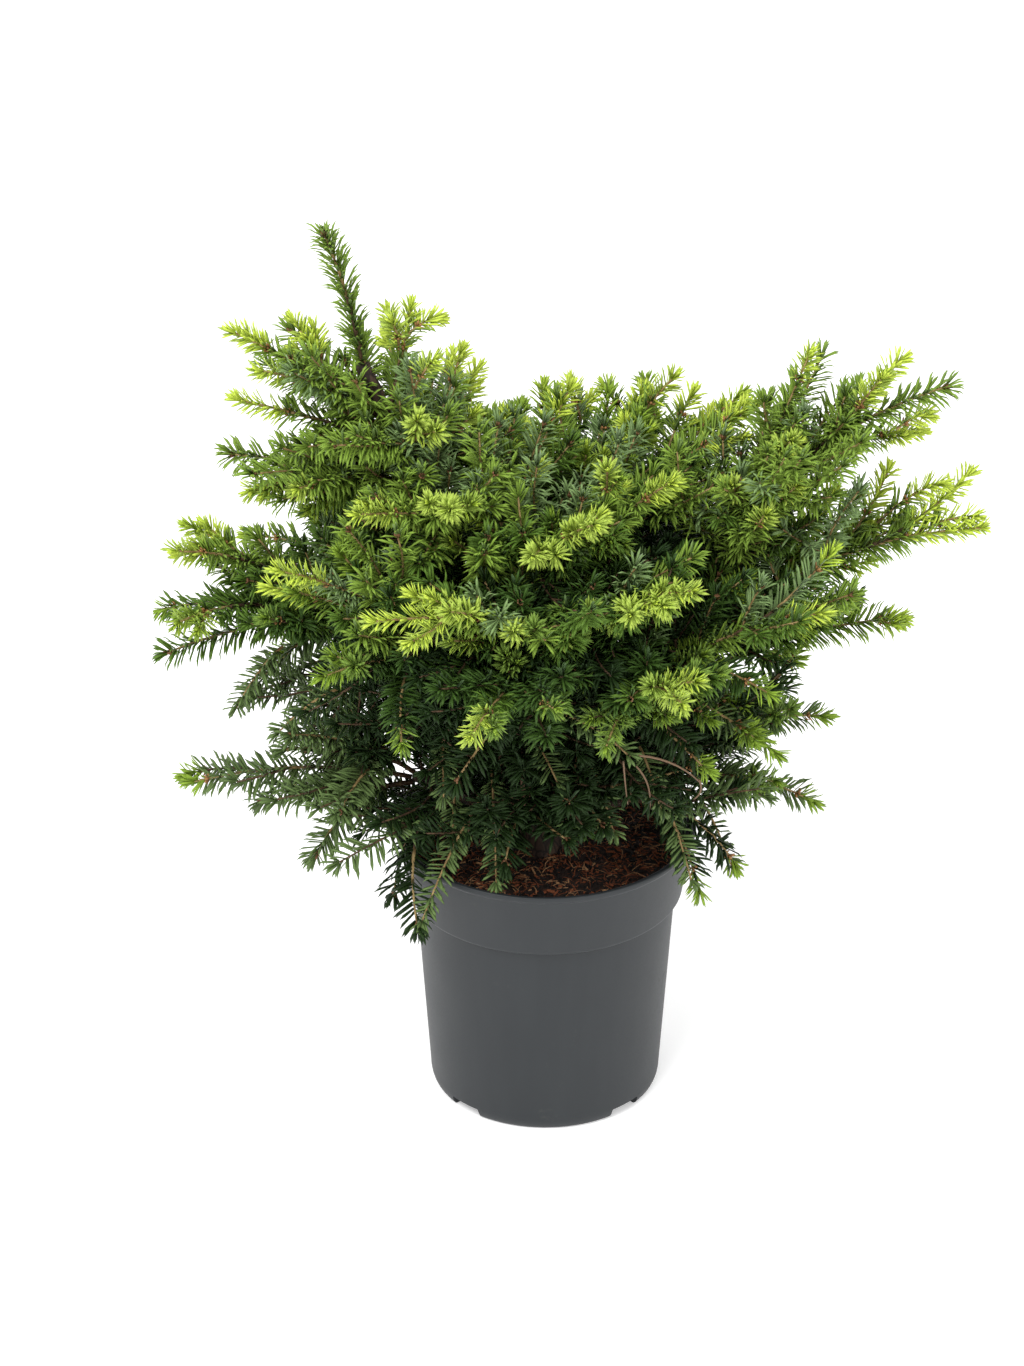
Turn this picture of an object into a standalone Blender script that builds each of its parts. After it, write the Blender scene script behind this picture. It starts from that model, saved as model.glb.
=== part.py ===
"""Dwarf spruce in a round nursery pot.

Metres, +Z up. The origin is the middle of the pot's flat underside, -Y is the front and +X the right.
The trunk leans to the left. Boughs leave it in a spiral and end where their foliage begins. Every mass
of foliage has one stem, which forks into shoots, and every shoot is a slim core with needles on it.
"""

import math
import random

import bmesh
import bpy
from mathutils import Matrix, Vector
from mathutils.bvhtree import BVHTree

CM = 0.01
GAP = 0.0003  # between any two pieces

# Pot, turned about Z
POT_HEIGHT = 0.137
RIM_RADIUS = 0.0706
RIM_ROLL = 0.0026  # height and width of the lip
RIM_EDGE = 0.0010
BAND_FOOT_RADIUS = 0.0642  # lower edge of the collar band
BAND_FOOT = 0.1025
BAND_SHOULDER = 0.0040  # inside, the wall steps out this much above the band's lower edge
BODY_TOP_RADIUS = 0.0608
BODY_FOOT_RADIUS = 0.0543
CORNER = 0.0075
FOOT_RADIUS = 0.0508
FOOT_WIDTH = 0.0045
WALL = 0.0015
FLOOR = 0.0070
CHANNEL_RISE = 0.0052  # the ring channel under the pot, between its foot and its middle disc
DISC_RADIUS = 0.0325
POT_SEGMENTS = 32
CORNER_STEPS = 2
NOTCHES = 4  # drain notches through the foot
NOTCH_WIDTH = 0.0170
NOTCH_RISE = 0.0051
NOTCH_LENGTH = 0.0300
NOTCH_START = 0.0010  # the cutter starts this far inside the foot

# Soil
SOIL_TOP = 0.1255
SOIL_DIP = 0.0020  # lower at the wall than at the trunk
SOIL_LEVEL_RADIUS = 0.0220

# Trunk, from the cut at the soil to its tip
TRUNK_FOOT = SOIL_TOP + GAP
TRUNK_TIP = 0.3750
TRUNK_LEAN = -0.0830
TRUNK_SWAY = 0.0030
TRUNK_FOOT_RADIUS = 0.0105
TRUNK_TIP_RADIUS = 0.0033
LEAN_POWER = 1.25
TAPER_POWER = 0.8
FLARE = 0.0055
FLARE_HEIGHT = 0.0180
FLARE_RINGS = (0.0, 0.22, 0.6, 1.0)  # shares of the flare's height
FLARE_ROOTS = 4
ROOT_LOBE = 0.4
ROOT_TURN = 0.5
FOOT_TRIM = 0.0010  # what lies this near the soil is levelled to the flat cut
TRUNK_RINGS = 9

# Boughs: height on the trunk, then azimuth, reach and height of the far end, then the radius there, in
# degrees and centimetres. Azimuth 0 is to the right and 270 to the front.
BOUGHS = {
    "bough_right_stem": (19.0, 6, 7.4, 25.4, 0.34),
    "bough_right": (17.0, 0, 6.8, 21.6, 0.32),
    "bough_right_low": (15.6, 354, 5.2, 16.4, 0.30),
    "bough_middle": (20.4, 60, 1.6, 25.4, 0.32),
    "bough_front": (18.6, 262, 4.0, 22.6, 0.34),
    "bough_front_left": (20.6, 218, 6.4, 24.2, 0.30),
    "bough_front_right": (17.8, 308, 4.6, 21.4, 0.34),
    "bough_left": (19.8, 180, 8.2, 23.2, 0.30),
    "bough_left_low": (15.6, 188, 6.2, 16.6, 0.34),
    "bough_low_left": (14.2, 222, 5.2, 17.0, 0.32),
    "bough_low_right": (14.0, 326, 4.2, 16.2, 0.32),
    "bough_back": (19.2, 92, 4.6, 23.8, 0.32),
    "bough_back_left": (17.2, 140, 6.2, 20.8, 0.32),
    "bough_back_right": (14.2, 48, 5.4, 19.8, 0.32),
}
BOUGH_FOOT_RADIUS = 0.0046
BOUGH_RINGS = 5
BOUGH_SAG = 0.12  # of its length, below the straight line

# Foliage: the bough, or the height on the trunk in centimetres, that carries the stem; how many side
# shoots each long one may have; the stem's arch, as the share of its length that its bend stands over the
# straight line; and the tips of its long shoots as azimuth, reach and height. The first tip ends the stem.
FOLIAGE = {
    "foliage_leader": ("trunk", 0, 0.08, [(186, 10.1, 45.0)]),
    "foliage_left_top": (34.6, 4, 0.06, [(180, 14.5, 39.4), (173, 11.8, 39.3), (189, 13.4, 38.4)]),
    "foliage_left_upper": (33.6, 4, 0.03, [(185, 14.4, 36.5)]),
    "foliage_left_mid": (31.6, 4, 0.04, [(178, 14.9, 32.8), (189, 14.0, 32.2), (200, 14.5, 34.5)]),
    "foliage_top_left": (34.8, 3, 0, [(171, 6.1, 40.4)]),
    "foliage_top_mid_left": (31.3, 4, 0, [(150, 4.3, 37.6), (130, 4.6, 36.0)]),
    "foliage_front_upright": (31.9, 3, 0.05, [(217, 7.2, 37.2), (206, 11.0, 36.0)]),
    "foliage_front_top_left": (28.6, 4, 0.12, [(242, 9.1, 34.4), (219, 11.2, 33.6)]),
    "foliage_back_top": (29.3, 5, 0.10, [(142, 9.4, 36.4), (118, 9.0, 34.4)]),
    "foliage_right_top": ("bough_right_stem", 4, 0.04, [(5, 12.1, 38.0), (350, 11.4, 35.0)]),
    "foliage_right_upper": (
        "bough_right_stem", 4, 0.24, [(0, 18.4, 36.8), (358, 15.4, 37.5), (5, 17.5, 33.6)]),
    "foliage_right_far": (
        "bough_right", 4, 0.22, [(0, 20.4, 29.5), (7, 19.9, 31.0), (12, 16.4, 30.8), (9, 15.5, 26.4)]),
    "foliage_right_mid": ("bough_right", 3, 0.08, [(0, 16.8, 24.7), (354, 14.4, 26.7)]),
    "foliage_right_low": ("bough_right_low", 3, 0.24, [(0, 13.4, 19.6), (10, 12.4, 22.4), (340, 12.2, 22.2)]),
    "foliage_right_bottom": ("bough_right_low", 3, 0.15, [(354, 13.0, 15.6), (338, 11.8, 18.4)]),
    "foliage_top_right": ("bough_middle", 5, 0.12, [(22, 10.8, 33.9), (40, 11.0, 32.0), (8, 9.4, 33.4)]),
    "foliage_top_mid_right": ("bough_middle", 5, 0.05, [(47, 6.8, 34.2), (28, 6.9, 35.7), (61, 6.1, 34.0)]),
    "foliage_top_middle": (25.6, 5, 0, [(73, 4.4, 34.7), (126, 3.2, 34.2)]),
    "foliage_front_top_right": (23.4, 5, 0.05, [(322, 7.4, 34.2), (300, 5.6, 35.0)]),
    "foliage_front_mid_left": ("bough_front", 4, 0.14, [(249, 12.6, 31.4), (234, 13.8, 30.4)]),
    "foliage_front_centre": (24.4, 5, 0.10, [(286, 8.4, 33.8), (266, 9.2, 32.6)]),
    "foliage_front_low": ("bough_front", 4, 0.20, [(256, 14.6, 26.2), (272, 13.2, 27.0), (247, 11.4, 21.4)]),
    "foliage_front_far_left": ("bough_front_left", 4, 0.15, [(211, 14.4, 31.2), (198, 13.6, 28.6)]),
    "foliage_front_left_low": ("bough_front_left", 4, 0.12, [(221, 13.8, 26.4), (240, 13.2, 24.0)]),
    "foliage_front_right_low": (
        "bough_front_right", 4, 0.20, [(297, 13.6, 26.8), (282, 12.4, 24.4), (312, 11.4, 21.0)]),
    "foliage_front_right": (21.4, 5, 0.12, [(304, 12.0, 31.4), (289, 11.6, 30.6)]),
    "foliage_right_front": (
        "bough_front_right", 4, 0.15, [(334, 14.2, 28.4), (322, 13.2, 25.0), (343, 13.8, 30.4),
         (331, 12.5, 20.6)]),
    "foliage_left_high": ("bough_left", 4, 0.04, [(178, 16.7, 29.3), (188, 17.4, 29.4)]),
    "foliage_left_far": (
        "bough_left", 4, 0.18, [(184, 18.2, 25.8), (189, 18.1, 24.2), (195, 17.7, 26.7), (184, 14.2, 20.7)]),
    "foliage_left_low": (
        "bough_left_low", 4, 0.14, [(200, 12.9, 21.0), (184, 12.6, 18.2), (216, 12.0, 18.0)]),
    "foliage_left_bottom": ("bough_left_low", 4, 0.08, [(181, 17.0, 16.0), (175, 13.9, 14.0)]),
    "foliage_left_hang": ("bough_left_low", 3, 0.22, [(198, 11.7, 13.6), (200, 12.3, 17.6)]),
    "foliage_pot_left": ("bough_low_left", 2, 0.24, [(206, 8.2, 11.4), (230, 9.4, 11.6)]),
    "foliage_front_hang": (15.2, 2, 0.30, [(252, 6.6, 14.8), (279, 7.1, 16.6)]),
    "foliage_pot_right": ("bough_low_right", 2, 0.22, [(346, 9.6, 12.4), (324, 9.2, 12.6)]),
    "foliage_front_low_right": (16.2, 4, 0.22, [(294, 7.0, 17.0), (324, 9.4, 20.0), (276, 8.6, 19.6)]),
    "foliage_back_centre": ("bough_back", 4, 0.14, [(94, 15.2, 27.0), (80, 14.6, 23.6), (106, 13.8, 22.4)]),
    "foliage_back_upper": (26.4, 5, 0.12, [(76, 9.8, 31.4), (104, 10.6, 30.2), (54, 10.6, 30.4)]),
    "foliage_back_left": (
        "bough_back_left", 4, 0.14, [(138, 16.2, 28.0), (122, 15.2, 25.8), (154, 16.0, 25.4)]),
    "foliage_back_left_low": (
        "bough_back_left", 4, 0.16, [(152, 14.6, 19.0), (128, 13.0, 17.4), (110, 12.0, 18.0)]),
    "foliage_back_right": (
        "bough_back_right", 4, 0.14, [(42, 16.0, 27.4), (62, 15.0, 25.4), (26, 16.2, 25.8)]),
    "foliage_back_right_low": (
        "bough_back_right", 4, 0.16, [(28, 13.8, 18.8), (56, 12.6, 17.0), (76, 12.2, 18.6)]),
}
FORK_SPREAD = 0.0026  # stems stand this far off the middle of the bough's end
STEM_LEAD = 0.15  # share of its length that a stem owes to the direction of what carries it
STEM_SUNK = 0.5  # a stem on the trunk starts this share of the trunk's radius off its middle
ARM_ANGLE = math.radians(38)  # a long side shoot leaves its stem at about this angle
ARM_ROOTS = [step / 100 for step in range(12, 80)]  # where on its stem it may start
ARM_STRAIGHT = 0.35
ARM_LENGTH = 0.062  # at least, so that its needles stand clear of the stem's

# Shoots
SHOOT_CORE = 0.0023  # where the needles start
SHOOT_TAPER = 0.6
TWIG_CORE = 0.0013  # the bare stretch behind them
NEEDLED_LENGTHS = (0.126, 0.112, 0.098, 0.084, 0.070, 0.056, 0.042)  # the first that is clear of the rest
FIRST_LENGTHS = NEEDLED_LENGTHS[-2:]
BARE_FOOT = 0.008
NEEDLE_STEP = 0.0140
BARE_STEP = 0.0300
NEEDLE_STAND = 0.0066
NEEDLE_SLANT = 0.0085  # forward
NEEDLE_SHORTER = 0.25  # towards the tip
NEEDLE_BELOW = 0.75  # needles under the shoot stand out less
NEEDLE_SPREAD = 0.1
BUD = 0.003
LAST_NEEDLES = 0.0045  # the wood of a long shoot ends this much short of its tip in the table
SHOOT_TWIST = math.radians(26)
SWELL = 1.2 * GAP  # round a shoot, for the room that it takes up

# Side shoots, to either side of a long one in turn
SIDE_NEEDLED = 0.062
SIDE_SHARES = (1.0, 0.75, 0.5)
SIDE_ROOT = 0.012  # bare foot of a side shoot
SIDE_ANGLE = math.radians(46)
SIDE_ANGLE_LESS = 0.1
SIDE_ANGLE_MORE = 0.15
SIDE_ROLL = 0.9
SIDE_FORWARD = 0.25  # how far its tip bends towards the long one's direction
SIDE_START = 0.036  # the first side shoot is this far behind the tip
SIDE_STEP = 0.018
SIDE_JITTER = 0.2
SIDE_LAST = 0.06  # no side shoot starts nearer the foot than this share
SIDE_SHORT = 0.006  # a side shoot ends this much nearer the crown's heart than its long one
CROWN_HEART = Vector((0.0, 0.0, 0.21))
SPACE_MARK = 0.7  # a side shoot is in its own space if it is at this share of its length
SPACE_STEPS = 12
STEEP = 0.3  # on a shoot nearer to upright than this, side shoots set off along X
UPRIGHT = 0.05

# Solids and cleaning
MERGE = 0.00001
CLEAN = 0.000002
WHOLE = 0.9  # the main shell holds at least this share of a mass


def clear_scene():
    for obj in list(bpy.data.objects):
        bpy.data.objects.remove(obj, do_unlink=True)


def new_collection(name):
    collection = bpy.data.collections.new(name)
    bpy.context.scene.collection.children.link(collection)
    return collection


def principled(name, colour, roughness, metallic=0.0):
    material = bpy.data.materials.new(name)
    material.use_nodes = True
    shader = material.node_tree.nodes["Principled BSDF"]
    shader.inputs["Base Color"].default_value = (*colour, 1.0)
    shader.inputs["Roughness"].default_value = roughness
    shader.inputs["Metallic"].default_value = metallic
    return material


def link_mesh(name, mesh, collection, material):
    """A new object in the collection, with one material."""
    obj = bpy.data.objects.new(name, mesh)
    if material:
        mesh.materials.clear()
        mesh.materials.append(material)
    collection.objects.link(obj)
    return obj


def polar(azimuth, reach, height):
    """A point from degrees and centimetres."""
    angle = math.radians(azimuth)
    return Vector((reach * CM * math.cos(angle), reach * CM * math.sin(angle), height * CM))


def bezier(start, bend, end, t):
    return start * (1 - t) ** 2 + bend * (2 * t * (1 - t)) + end * t ** 2


def bezier_direction(start, bend, end, t):
    return ((bend - start) * (1 - t) + (end - bend) * t).normalized()


def turned(name, profile, segments, collection, material):
    """A profile of (radius, height) points turned about Z. It runs down its outer side."""
    mesh = bpy.data.meshes.new(name)
    points = [(radius, 0.0, height) for radius, height in profile]
    mesh.from_pydata(points, [(i, i + 1) for i in range(len(points) - 1)], [])
    obj = link_mesh(name, mesh, collection, material)
    screw = obj.modifiers.new("turn", "SCREW")
    screw.axis = "Z"
    screw.steps = segments
    screw.render_steps = segments
    screw.use_merge_vertices = True
    screw.merge_threshold = MERGE
    screw.use_smooth_shade = True
    return obj


def make_pot(collection, cutters, material):
    channel_outer = FOOT_RADIUS - FOOT_WIDTH
    inner_foot = BODY_FOOT_RADIUS - WALL
    profile = [
        (0.0, FLOOR),
        (inner_foot, FLOOR),
        (BODY_TOP_RADIUS - WALL, BAND_FOOT),
        (BAND_FOOT_RADIUS - WALL, BAND_FOOT + BAND_SHOULDER),
        (RIM_RADIUS - RIM_ROLL, POT_HEIGHT),
        (RIM_RADIUS - RIM_EDGE, POT_HEIGHT),
        (RIM_RADIUS, POT_HEIGHT - RIM_EDGE),
        (RIM_RADIUS, POT_HEIGHT - RIM_ROLL),
        (RIM_RADIUS - RIM_EDGE, POT_HEIGHT - RIM_ROLL - RIM_EDGE),
        (BAND_FOOT_RADIUS, BAND_FOOT),
        (BODY_TOP_RADIUS, BAND_FOOT),
        (BODY_FOOT_RADIUS, CORNER),
    ]
    for step in range(1, CORNER_STEPS + 1):
        angle = math.pi / 2 * step / CORNER_STEPS
        inward = (BODY_FOOT_RADIUS - FOOT_RADIUS) * (1 - math.cos(angle))
        profile.append((BODY_FOOT_RADIUS - inward, CORNER * (1 - math.sin(angle))))
    profile += [
        (channel_outer, 0.0),
        (channel_outer, CHANNEL_RISE),
        (DISC_RADIUS, CHANNEL_RISE),
        (DISC_RADIUS, 0.0),
        (0.0, 0.0),
    ]
    pot = turned("pot", profile, POT_SEGMENTS, collection, material)
    for index in range(NOTCHES):
        angle = 2 * math.pi * (index + 0.5) / NOTCHES
        mesh = bpy.data.meshes.new("notch")
        bm = bmesh.new()
        bmesh.ops.create_cube(bm, size=1.0)
        bmesh.ops.scale(bm, vec=(NOTCH_LENGTH, NOTCH_WIDTH, 2 * NOTCH_RISE), verts=bm.verts)
        middle = channel_outer - NOTCH_START + NOTCH_LENGTH / 2
        bmesh.ops.translate(bm, vec=(middle, 0, 0), verts=bm.verts)
        bmesh.ops.rotate(bm, cent=(0, 0, 0), matrix=Matrix.Rotation(angle, 3, "Z"), verts=bm.verts)
        bm.to_mesh(mesh)
        bm.free()
        cutter = link_mesh("notch_%d" % (index + 1), mesh, cutters, None)
        as_cutter(cutter)
        cut = pot.modifiers.new("notch", "BOOLEAN")
        cut.operation = "DIFFERENCE"
        cut.object = cutter
    return pot


def make_soil(collection, material):
    """The filled inside of the pot, level round the trunk and a little lower at the wall."""
    inset = WALL + 2 * GAP
    shoulder = BAND_FOOT + BAND_SHOULDER
    rise = (SOIL_TOP - SOIL_DIP - shoulder) / (POT_HEIGHT - shoulder)
    band_inner = BAND_FOOT_RADIUS - inset
    top_radius = band_inner + rise * (RIM_RADIUS - RIM_ROLL - BAND_FOOT_RADIUS + WALL)
    profile = [
        (0.0, SOIL_TOP),
        (SOIL_LEVEL_RADIUS, SOIL_TOP),
        (top_radius, SOIL_TOP - SOIL_DIP),
        (band_inner, shoulder),
        (BODY_TOP_RADIUS - inset, BAND_FOOT),
        (BODY_FOOT_RADIUS - inset, FLOOR + GAP),
        (0.0, FLOOR + GAP),
    ]
    return turned("soil", profile, POT_SEGMENTS, collection, material)


def as_cutter(obj):
    obj.hide_render = True
    obj.display_type = "WIRE"


def trunk_point(height):
    """The middle of the trunk at a height: it leans to the left, more so further up."""
    along = (height - TRUNK_FOOT) / (TRUNK_TIP - TRUNK_FOOT)
    lean = TRUNK_LEAN * max(along, 0.0) ** LEAN_POWER
    return Vector((lean, TRUNK_SWAY * math.sin(math.tau * along), height))


def trunk_radius(height):
    along = (height - TRUNK_FOOT) / (TRUNK_TIP - TRUNK_FOOT)
    return TRUNK_FOOT_RADIUS + (TRUNK_TIP_RADIUS - TRUNK_FOOT_RADIUS) * along ** TAPER_POWER


def tube_mesh(name, points, radii, bevel_resolution):
    """A round tapering tube through the points, as a closed mesh."""
    curve = bpy.data.curves.new(name, "CURVE")
    curve.dimensions = "3D"
    curve.bevel_depth = 1.0
    curve.bevel_resolution = bevel_resolution
    curve.use_fill_caps = True
    spline = curve.splines.new("POLY")
    spline.points.add(len(points) - 1)
    for point, place, radius in zip(spline.points, points, radii):
        point.co = (*place, 1.0)
        point.radius = radius
    obj = bpy.data.objects.new(name, curve)
    bpy.context.scene.collection.objects.link(obj)
    graph = bpy.context.evaluated_depsgraph_get()
    mesh = bpy.data.meshes.new_from_object(obj.evaluated_get(graph))
    bpy.data.objects.remove(obj, do_unlink=True)
    bpy.data.curves.remove(curve)
    bm = bmesh.new()
    bm.from_mesh(mesh)
    bmesh.ops.remove_doubles(bm, verts=bm.verts, dist=MERGE)
    bmesh.ops.recalc_face_normals(bm, faces=bm.faces)
    bm.to_mesh(mesh)
    bm.free()
    return mesh


def trunk_mesh(name, extra):
    """The trunk, swollen by extra. Its foot spreads into a few root lobes."""
    heights = [TRUNK_FOOT + FLARE_HEIGHT * share for share in FLARE_RINGS]
    above = TRUNK_TIP - heights[-1]
    heights += [heights[-1] + above * i / TRUNK_RINGS for i in range(1, TRUNK_RINGS + 1)]
    points = [trunk_point(height) for height in heights]
    radii = [trunk_radius(height) + extra for height in heights]
    mesh = tube_mesh(name, points, radii, 3)
    bm = bmesh.new()
    bm.from_mesh(mesh)
    for vert in bm.verts:
        up = max(0.0, 1 - (vert.co.z - TRUNK_FOOT) / FLARE_HEIGHT)
        if up > 0:
            out = Vector((vert.co.x, vert.co.y, 0)) - trunk_point(vert.co.z) * Vector((1, 1, 0))
            angle = math.atan2(out.y, out.x)
            lobe = 1 - ROOT_LOBE + ROOT_LOBE * math.cos(FLARE_ROOTS * angle + ROOT_TURN)
            vert.co += out.normalized() * FLARE * up ** 2 * lobe
        if vert.co.z < TRUNK_FOOT + FOOT_TRIM:
            vert.co.z = TRUNK_FOOT
    bm.to_mesh(mesh)
    bm.free()
    return mesh


def bough_path(name):
    """Start, bend and end of a bough. It starts on the trunk's middle and is cut clear of the bark."""
    height, azimuth, reach, end_height, _ = BOUGHS[name]
    start = trunk_point(height * CM)
    end = polar(azimuth, reach, end_height)
    span = end - start
    return start, start + span / 2 - Vector((0, 0, BOUGH_SAG * span.length)), end


def make_boughs(collection, trunk_cutter, material):
    boughs = []
    for name, spec in BOUGHS.items():
        path = bough_path(name)
        steps = [i / BOUGH_RINGS for i in range(BOUGH_RINGS + 1)]
        radii = [BOUGH_FOOT_RADIUS + (spec[4] * CM - BOUGH_FOOT_RADIUS) * t for t in steps]
        mesh = tube_mesh(name, [bezier(*path, t) for t in steps], radii, 1)
        bough = link_mesh(name, mesh, collection, material)
        cut_clear(bough, trunk_cutter)
        boughs.append(bough)
    return boughs


def cut_clear(obj, cutter):
    cut = obj.modifiers.new("clear_of_trunk", "BOOLEAN")
    cut.operation = "DIFFERENCE"
    cut.object = cutter


def stem_path(name):
    """Start, bend and end of a foliage stem: from its bough's end or the trunk to its first tip."""
    carrier, _, arch, tips = FOLIAGE[name]
    tip = polar(*tips[0])
    if carrier == "trunk":
        foot = trunk_point(TRUNK_TIP)
        lead = (foot - trunk_point(TRUNK_TIP - CM)).normalized()
        start = foot + lead * GAP
    elif carrier in BOUGHS:
        path = bough_path(carrier)
        lead = bezier_direction(*path, 1.0)
        ends = [polar(*spec[-1][0]) for spec in FOLIAGE.values() if spec[0] == carrier]
        aside = tip - sum(ends, Vector()) / len(ends)
        aside -= lead * aside.dot(lead)
        start = path[2] + aside.normalized() * FORK_SPREAD
        heading = (arched(start, lead, tip, arch)[1] - start).normalized()
        start += lead * (GAP + (TWIG_CORE + SWELL) * lead.cross(heading).length)
    else:
        start = trunk_point(carrier * CM)
        lead = (tip - start).normalized()
        start += lead * STEM_SUNK * trunk_radius(start.z)
    return arched(start, lead, wood_end(start, tip), arch)


def arched(start, lead, end, share):
    """Start, bend and end of a stem. It sets off a little towards the lead and bows upwards."""
    span = end - start
    along = span.normalized()
    rise = (Vector((0, 0, 1)) - along * along.z).normalized()
    bend = start + span * (0.5 - STEM_LEAD) + (lead * STEM_LEAD + rise * share) * span.length
    return start, bend, end


def wood_end(start, tip):
    """Where a shoot's wood ends, so that its last needles reach on to the tip."""
    return tip - (tip - start).normalized() * LAST_NEEDLES


def arm_path(stem, tip):
    """A long side shoot: it leaves the stem where the way to its tip is at about the arm's angle."""
    best = None
    for t in ARM_ROOTS:
        root = bezier(*stem, t)
        angle = bezier_direction(*stem, t).angle(tip - root)
        miss = abs(angle - ARM_ANGLE)
        if best is None or miss < best[0] and (tip - root).length > ARM_LENGTH:
            best = (miss, t)
    root = bezier(*stem, best[1])
    end = wood_end(root, tip)
    ahead = bezier_direction(*stem, best[1]) * (end - root).length
    return root, root + ahead * ARM_STRAIGHT, end


def path_length(path):
    return (path[2] - path[0]).length


def side_paths(path, count, rng):
    """Side shoots along a long one, each in several lengths, longest first. None reaches out to its tip."""
    found = []
    side = 1 if rng.random() < 0.5 else -1
    limit = (path[2] - CROWN_HEART).length - SIDE_SHORT
    for index in range(count):
        back = SIDE_START + SIDE_STEP * (index + rng.uniform(-SIDE_JITTER, SIDE_JITTER))
        t = 1 - back / path_length(path)
        if t < SIDE_LAST:
            break
        root = bezier(*path, t)
        along = bezier_direction(*path, t)
        level = along.cross(Vector((0, 0, 1)))
        if level.length < STEEP:
            level = Vector((1, 0, 0))
        roll = Matrix.Rotation(rng.uniform(-SIDE_ROLL, SIDE_ROLL), 3, along)
        out = roll @ level.normalized() * side
        angle = SIDE_ANGLE + rng.uniform(-SIDE_ANGLE_LESS, SIDE_ANGLE_MORE)
        heading = along * math.cos(angle) + out * math.sin(angle)
        lengths = []
        for share in SIDE_SHARES:
            reach = SIDE_ROOT + SIDE_NEEDLED * share
            tip = root + (heading + along * SIDE_FORWARD).normalized() * reach
            if (tip - CROWN_HEART).length < limit:
                lengths.append((root, root + heading * reach / 2, tip))
        found.append(lengths)
        side = -side
    return found


def path_frame(path, t):
    """Direction, side and upper side on a path."""
    along = bezier_direction(*path, t)
    side = along.cross(Vector((0, 0, 1)))
    side = side.normalized() if side.length > UPRIGHT else Vector((1, 0, 0))
    return along, side, side.cross(along)


def shoot_mesh(path, needled, rng, swell=0.0):
    """A slim three-sided core along the path. Its needled end has each face drawn out into a needle."""
    length = path_length(path)
    bare = length - needled
    bare_rings = max(1, round(bare / BARE_STEP))
    needle_rings = max(2, round(needled / NEEDLE_STEP))
    rings = bare_rings + needle_rings
    bm = bmesh.new()
    bmesh.ops.create_cone(bm, cap_ends=True, segments=3, radius1=1.0, radius2=1.0, depth=rings)
    edges = [edge for edge in bm.edges if abs(edge.verts[0].co.z - edge.verts[1].co.z) > 0.5]
    bmesh.ops.subdivide_edges(bm, edges=edges, cuts=rings - 1)
    twist_from = rng.uniform(0, math.tau)
    for vert in bm.verts:
        ring = round(vert.co.z + rings / 2)
        share = max(0.0, (ring - bare_rings) / needle_rings)
        core = SHOOT_CORE * (1 - SHOOT_TAPER * share) if ring > bare_rings else TWIG_CORE
        vert.co = vert.co * (core + swell)
        vert.co.rotate(Matrix.Rotation(twist_from + SHOOT_TWIST * ring, 3, "Z"))
        vert.co.z = bare * min(ring / bare_rings, 1.0) + needled * share
    bm.normal_update()
    sides = [face for face in bm.faces if len(face.verts) == 4 and face.calc_center_median().z > bare]
    needles = bmesh.ops.poke(bm, faces=sides, offset=NEEDLE_STAND + swell)["verts"]
    for vert in needles:
        taper = 1.0 - NEEDLE_SHORTER * (vert.co.z - bare) / needled
        below = NEEDLE_BELOW if vert.co.y < 0 else 1.0
        vert.co.x *= taper * rng.uniform(1 - NEEDLE_SPREAD, 1 + NEEDLE_SPREAD)
        vert.co.y *= taper * below * rng.uniform(1 - NEEDLE_SPREAD, 1 + NEEDLE_SPREAD)
        vert.co.z += NEEDLE_SLANT * rng.uniform(1 - 2 * NEEDLE_SPREAD, 1 + 2 * NEEDLE_SPREAD)
    bud = [face for face in bm.faces if face.calc_center_median().z > length - MERGE]
    bmesh.ops.poke(bm, faces=bud, offset=BUD + swell)
    for vert in bm.verts:
        t = min(vert.co.z / length, 1.0)
        along, side, up = path_frame(path, t)
        past = along * (vert.co.z - length) if vert.co.z > length else Vector()
        vert.co = bezier(*path, t) + past + side * vert.co.x + up * vert.co.y
    return finished(bm, "shoot")


def finished(bm, name):
    mesh = bpy.data.meshes.new(name)
    bm.to_mesh(mesh)
    bm.free()
    return mesh


def tree_of(mesh):
    bm = bmesh.new()
    bm.from_mesh(mesh)
    tree = BVHTree.FromBMesh(bm)
    bm.free()
    return tree


def swollen_tree(path, needled, seed):
    """What a shoot takes up, with a gap round it."""
    mesh = shoot_mesh(path, needled, random.Random(seed), SWELL)
    tree = tree_of(mesh)
    bpy.data.meshes.remove(mesh)
    return tree


def nearest_owner(point, axes):
    """The foliage whose stem or long shoot passes nearest to a point."""
    best = None
    for name, places in axes.items():
        gap = min((place - point).length_squared for place in places)
        if best is None or gap < best[0]:
            best = (gap, name)
    return best[1]


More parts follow.
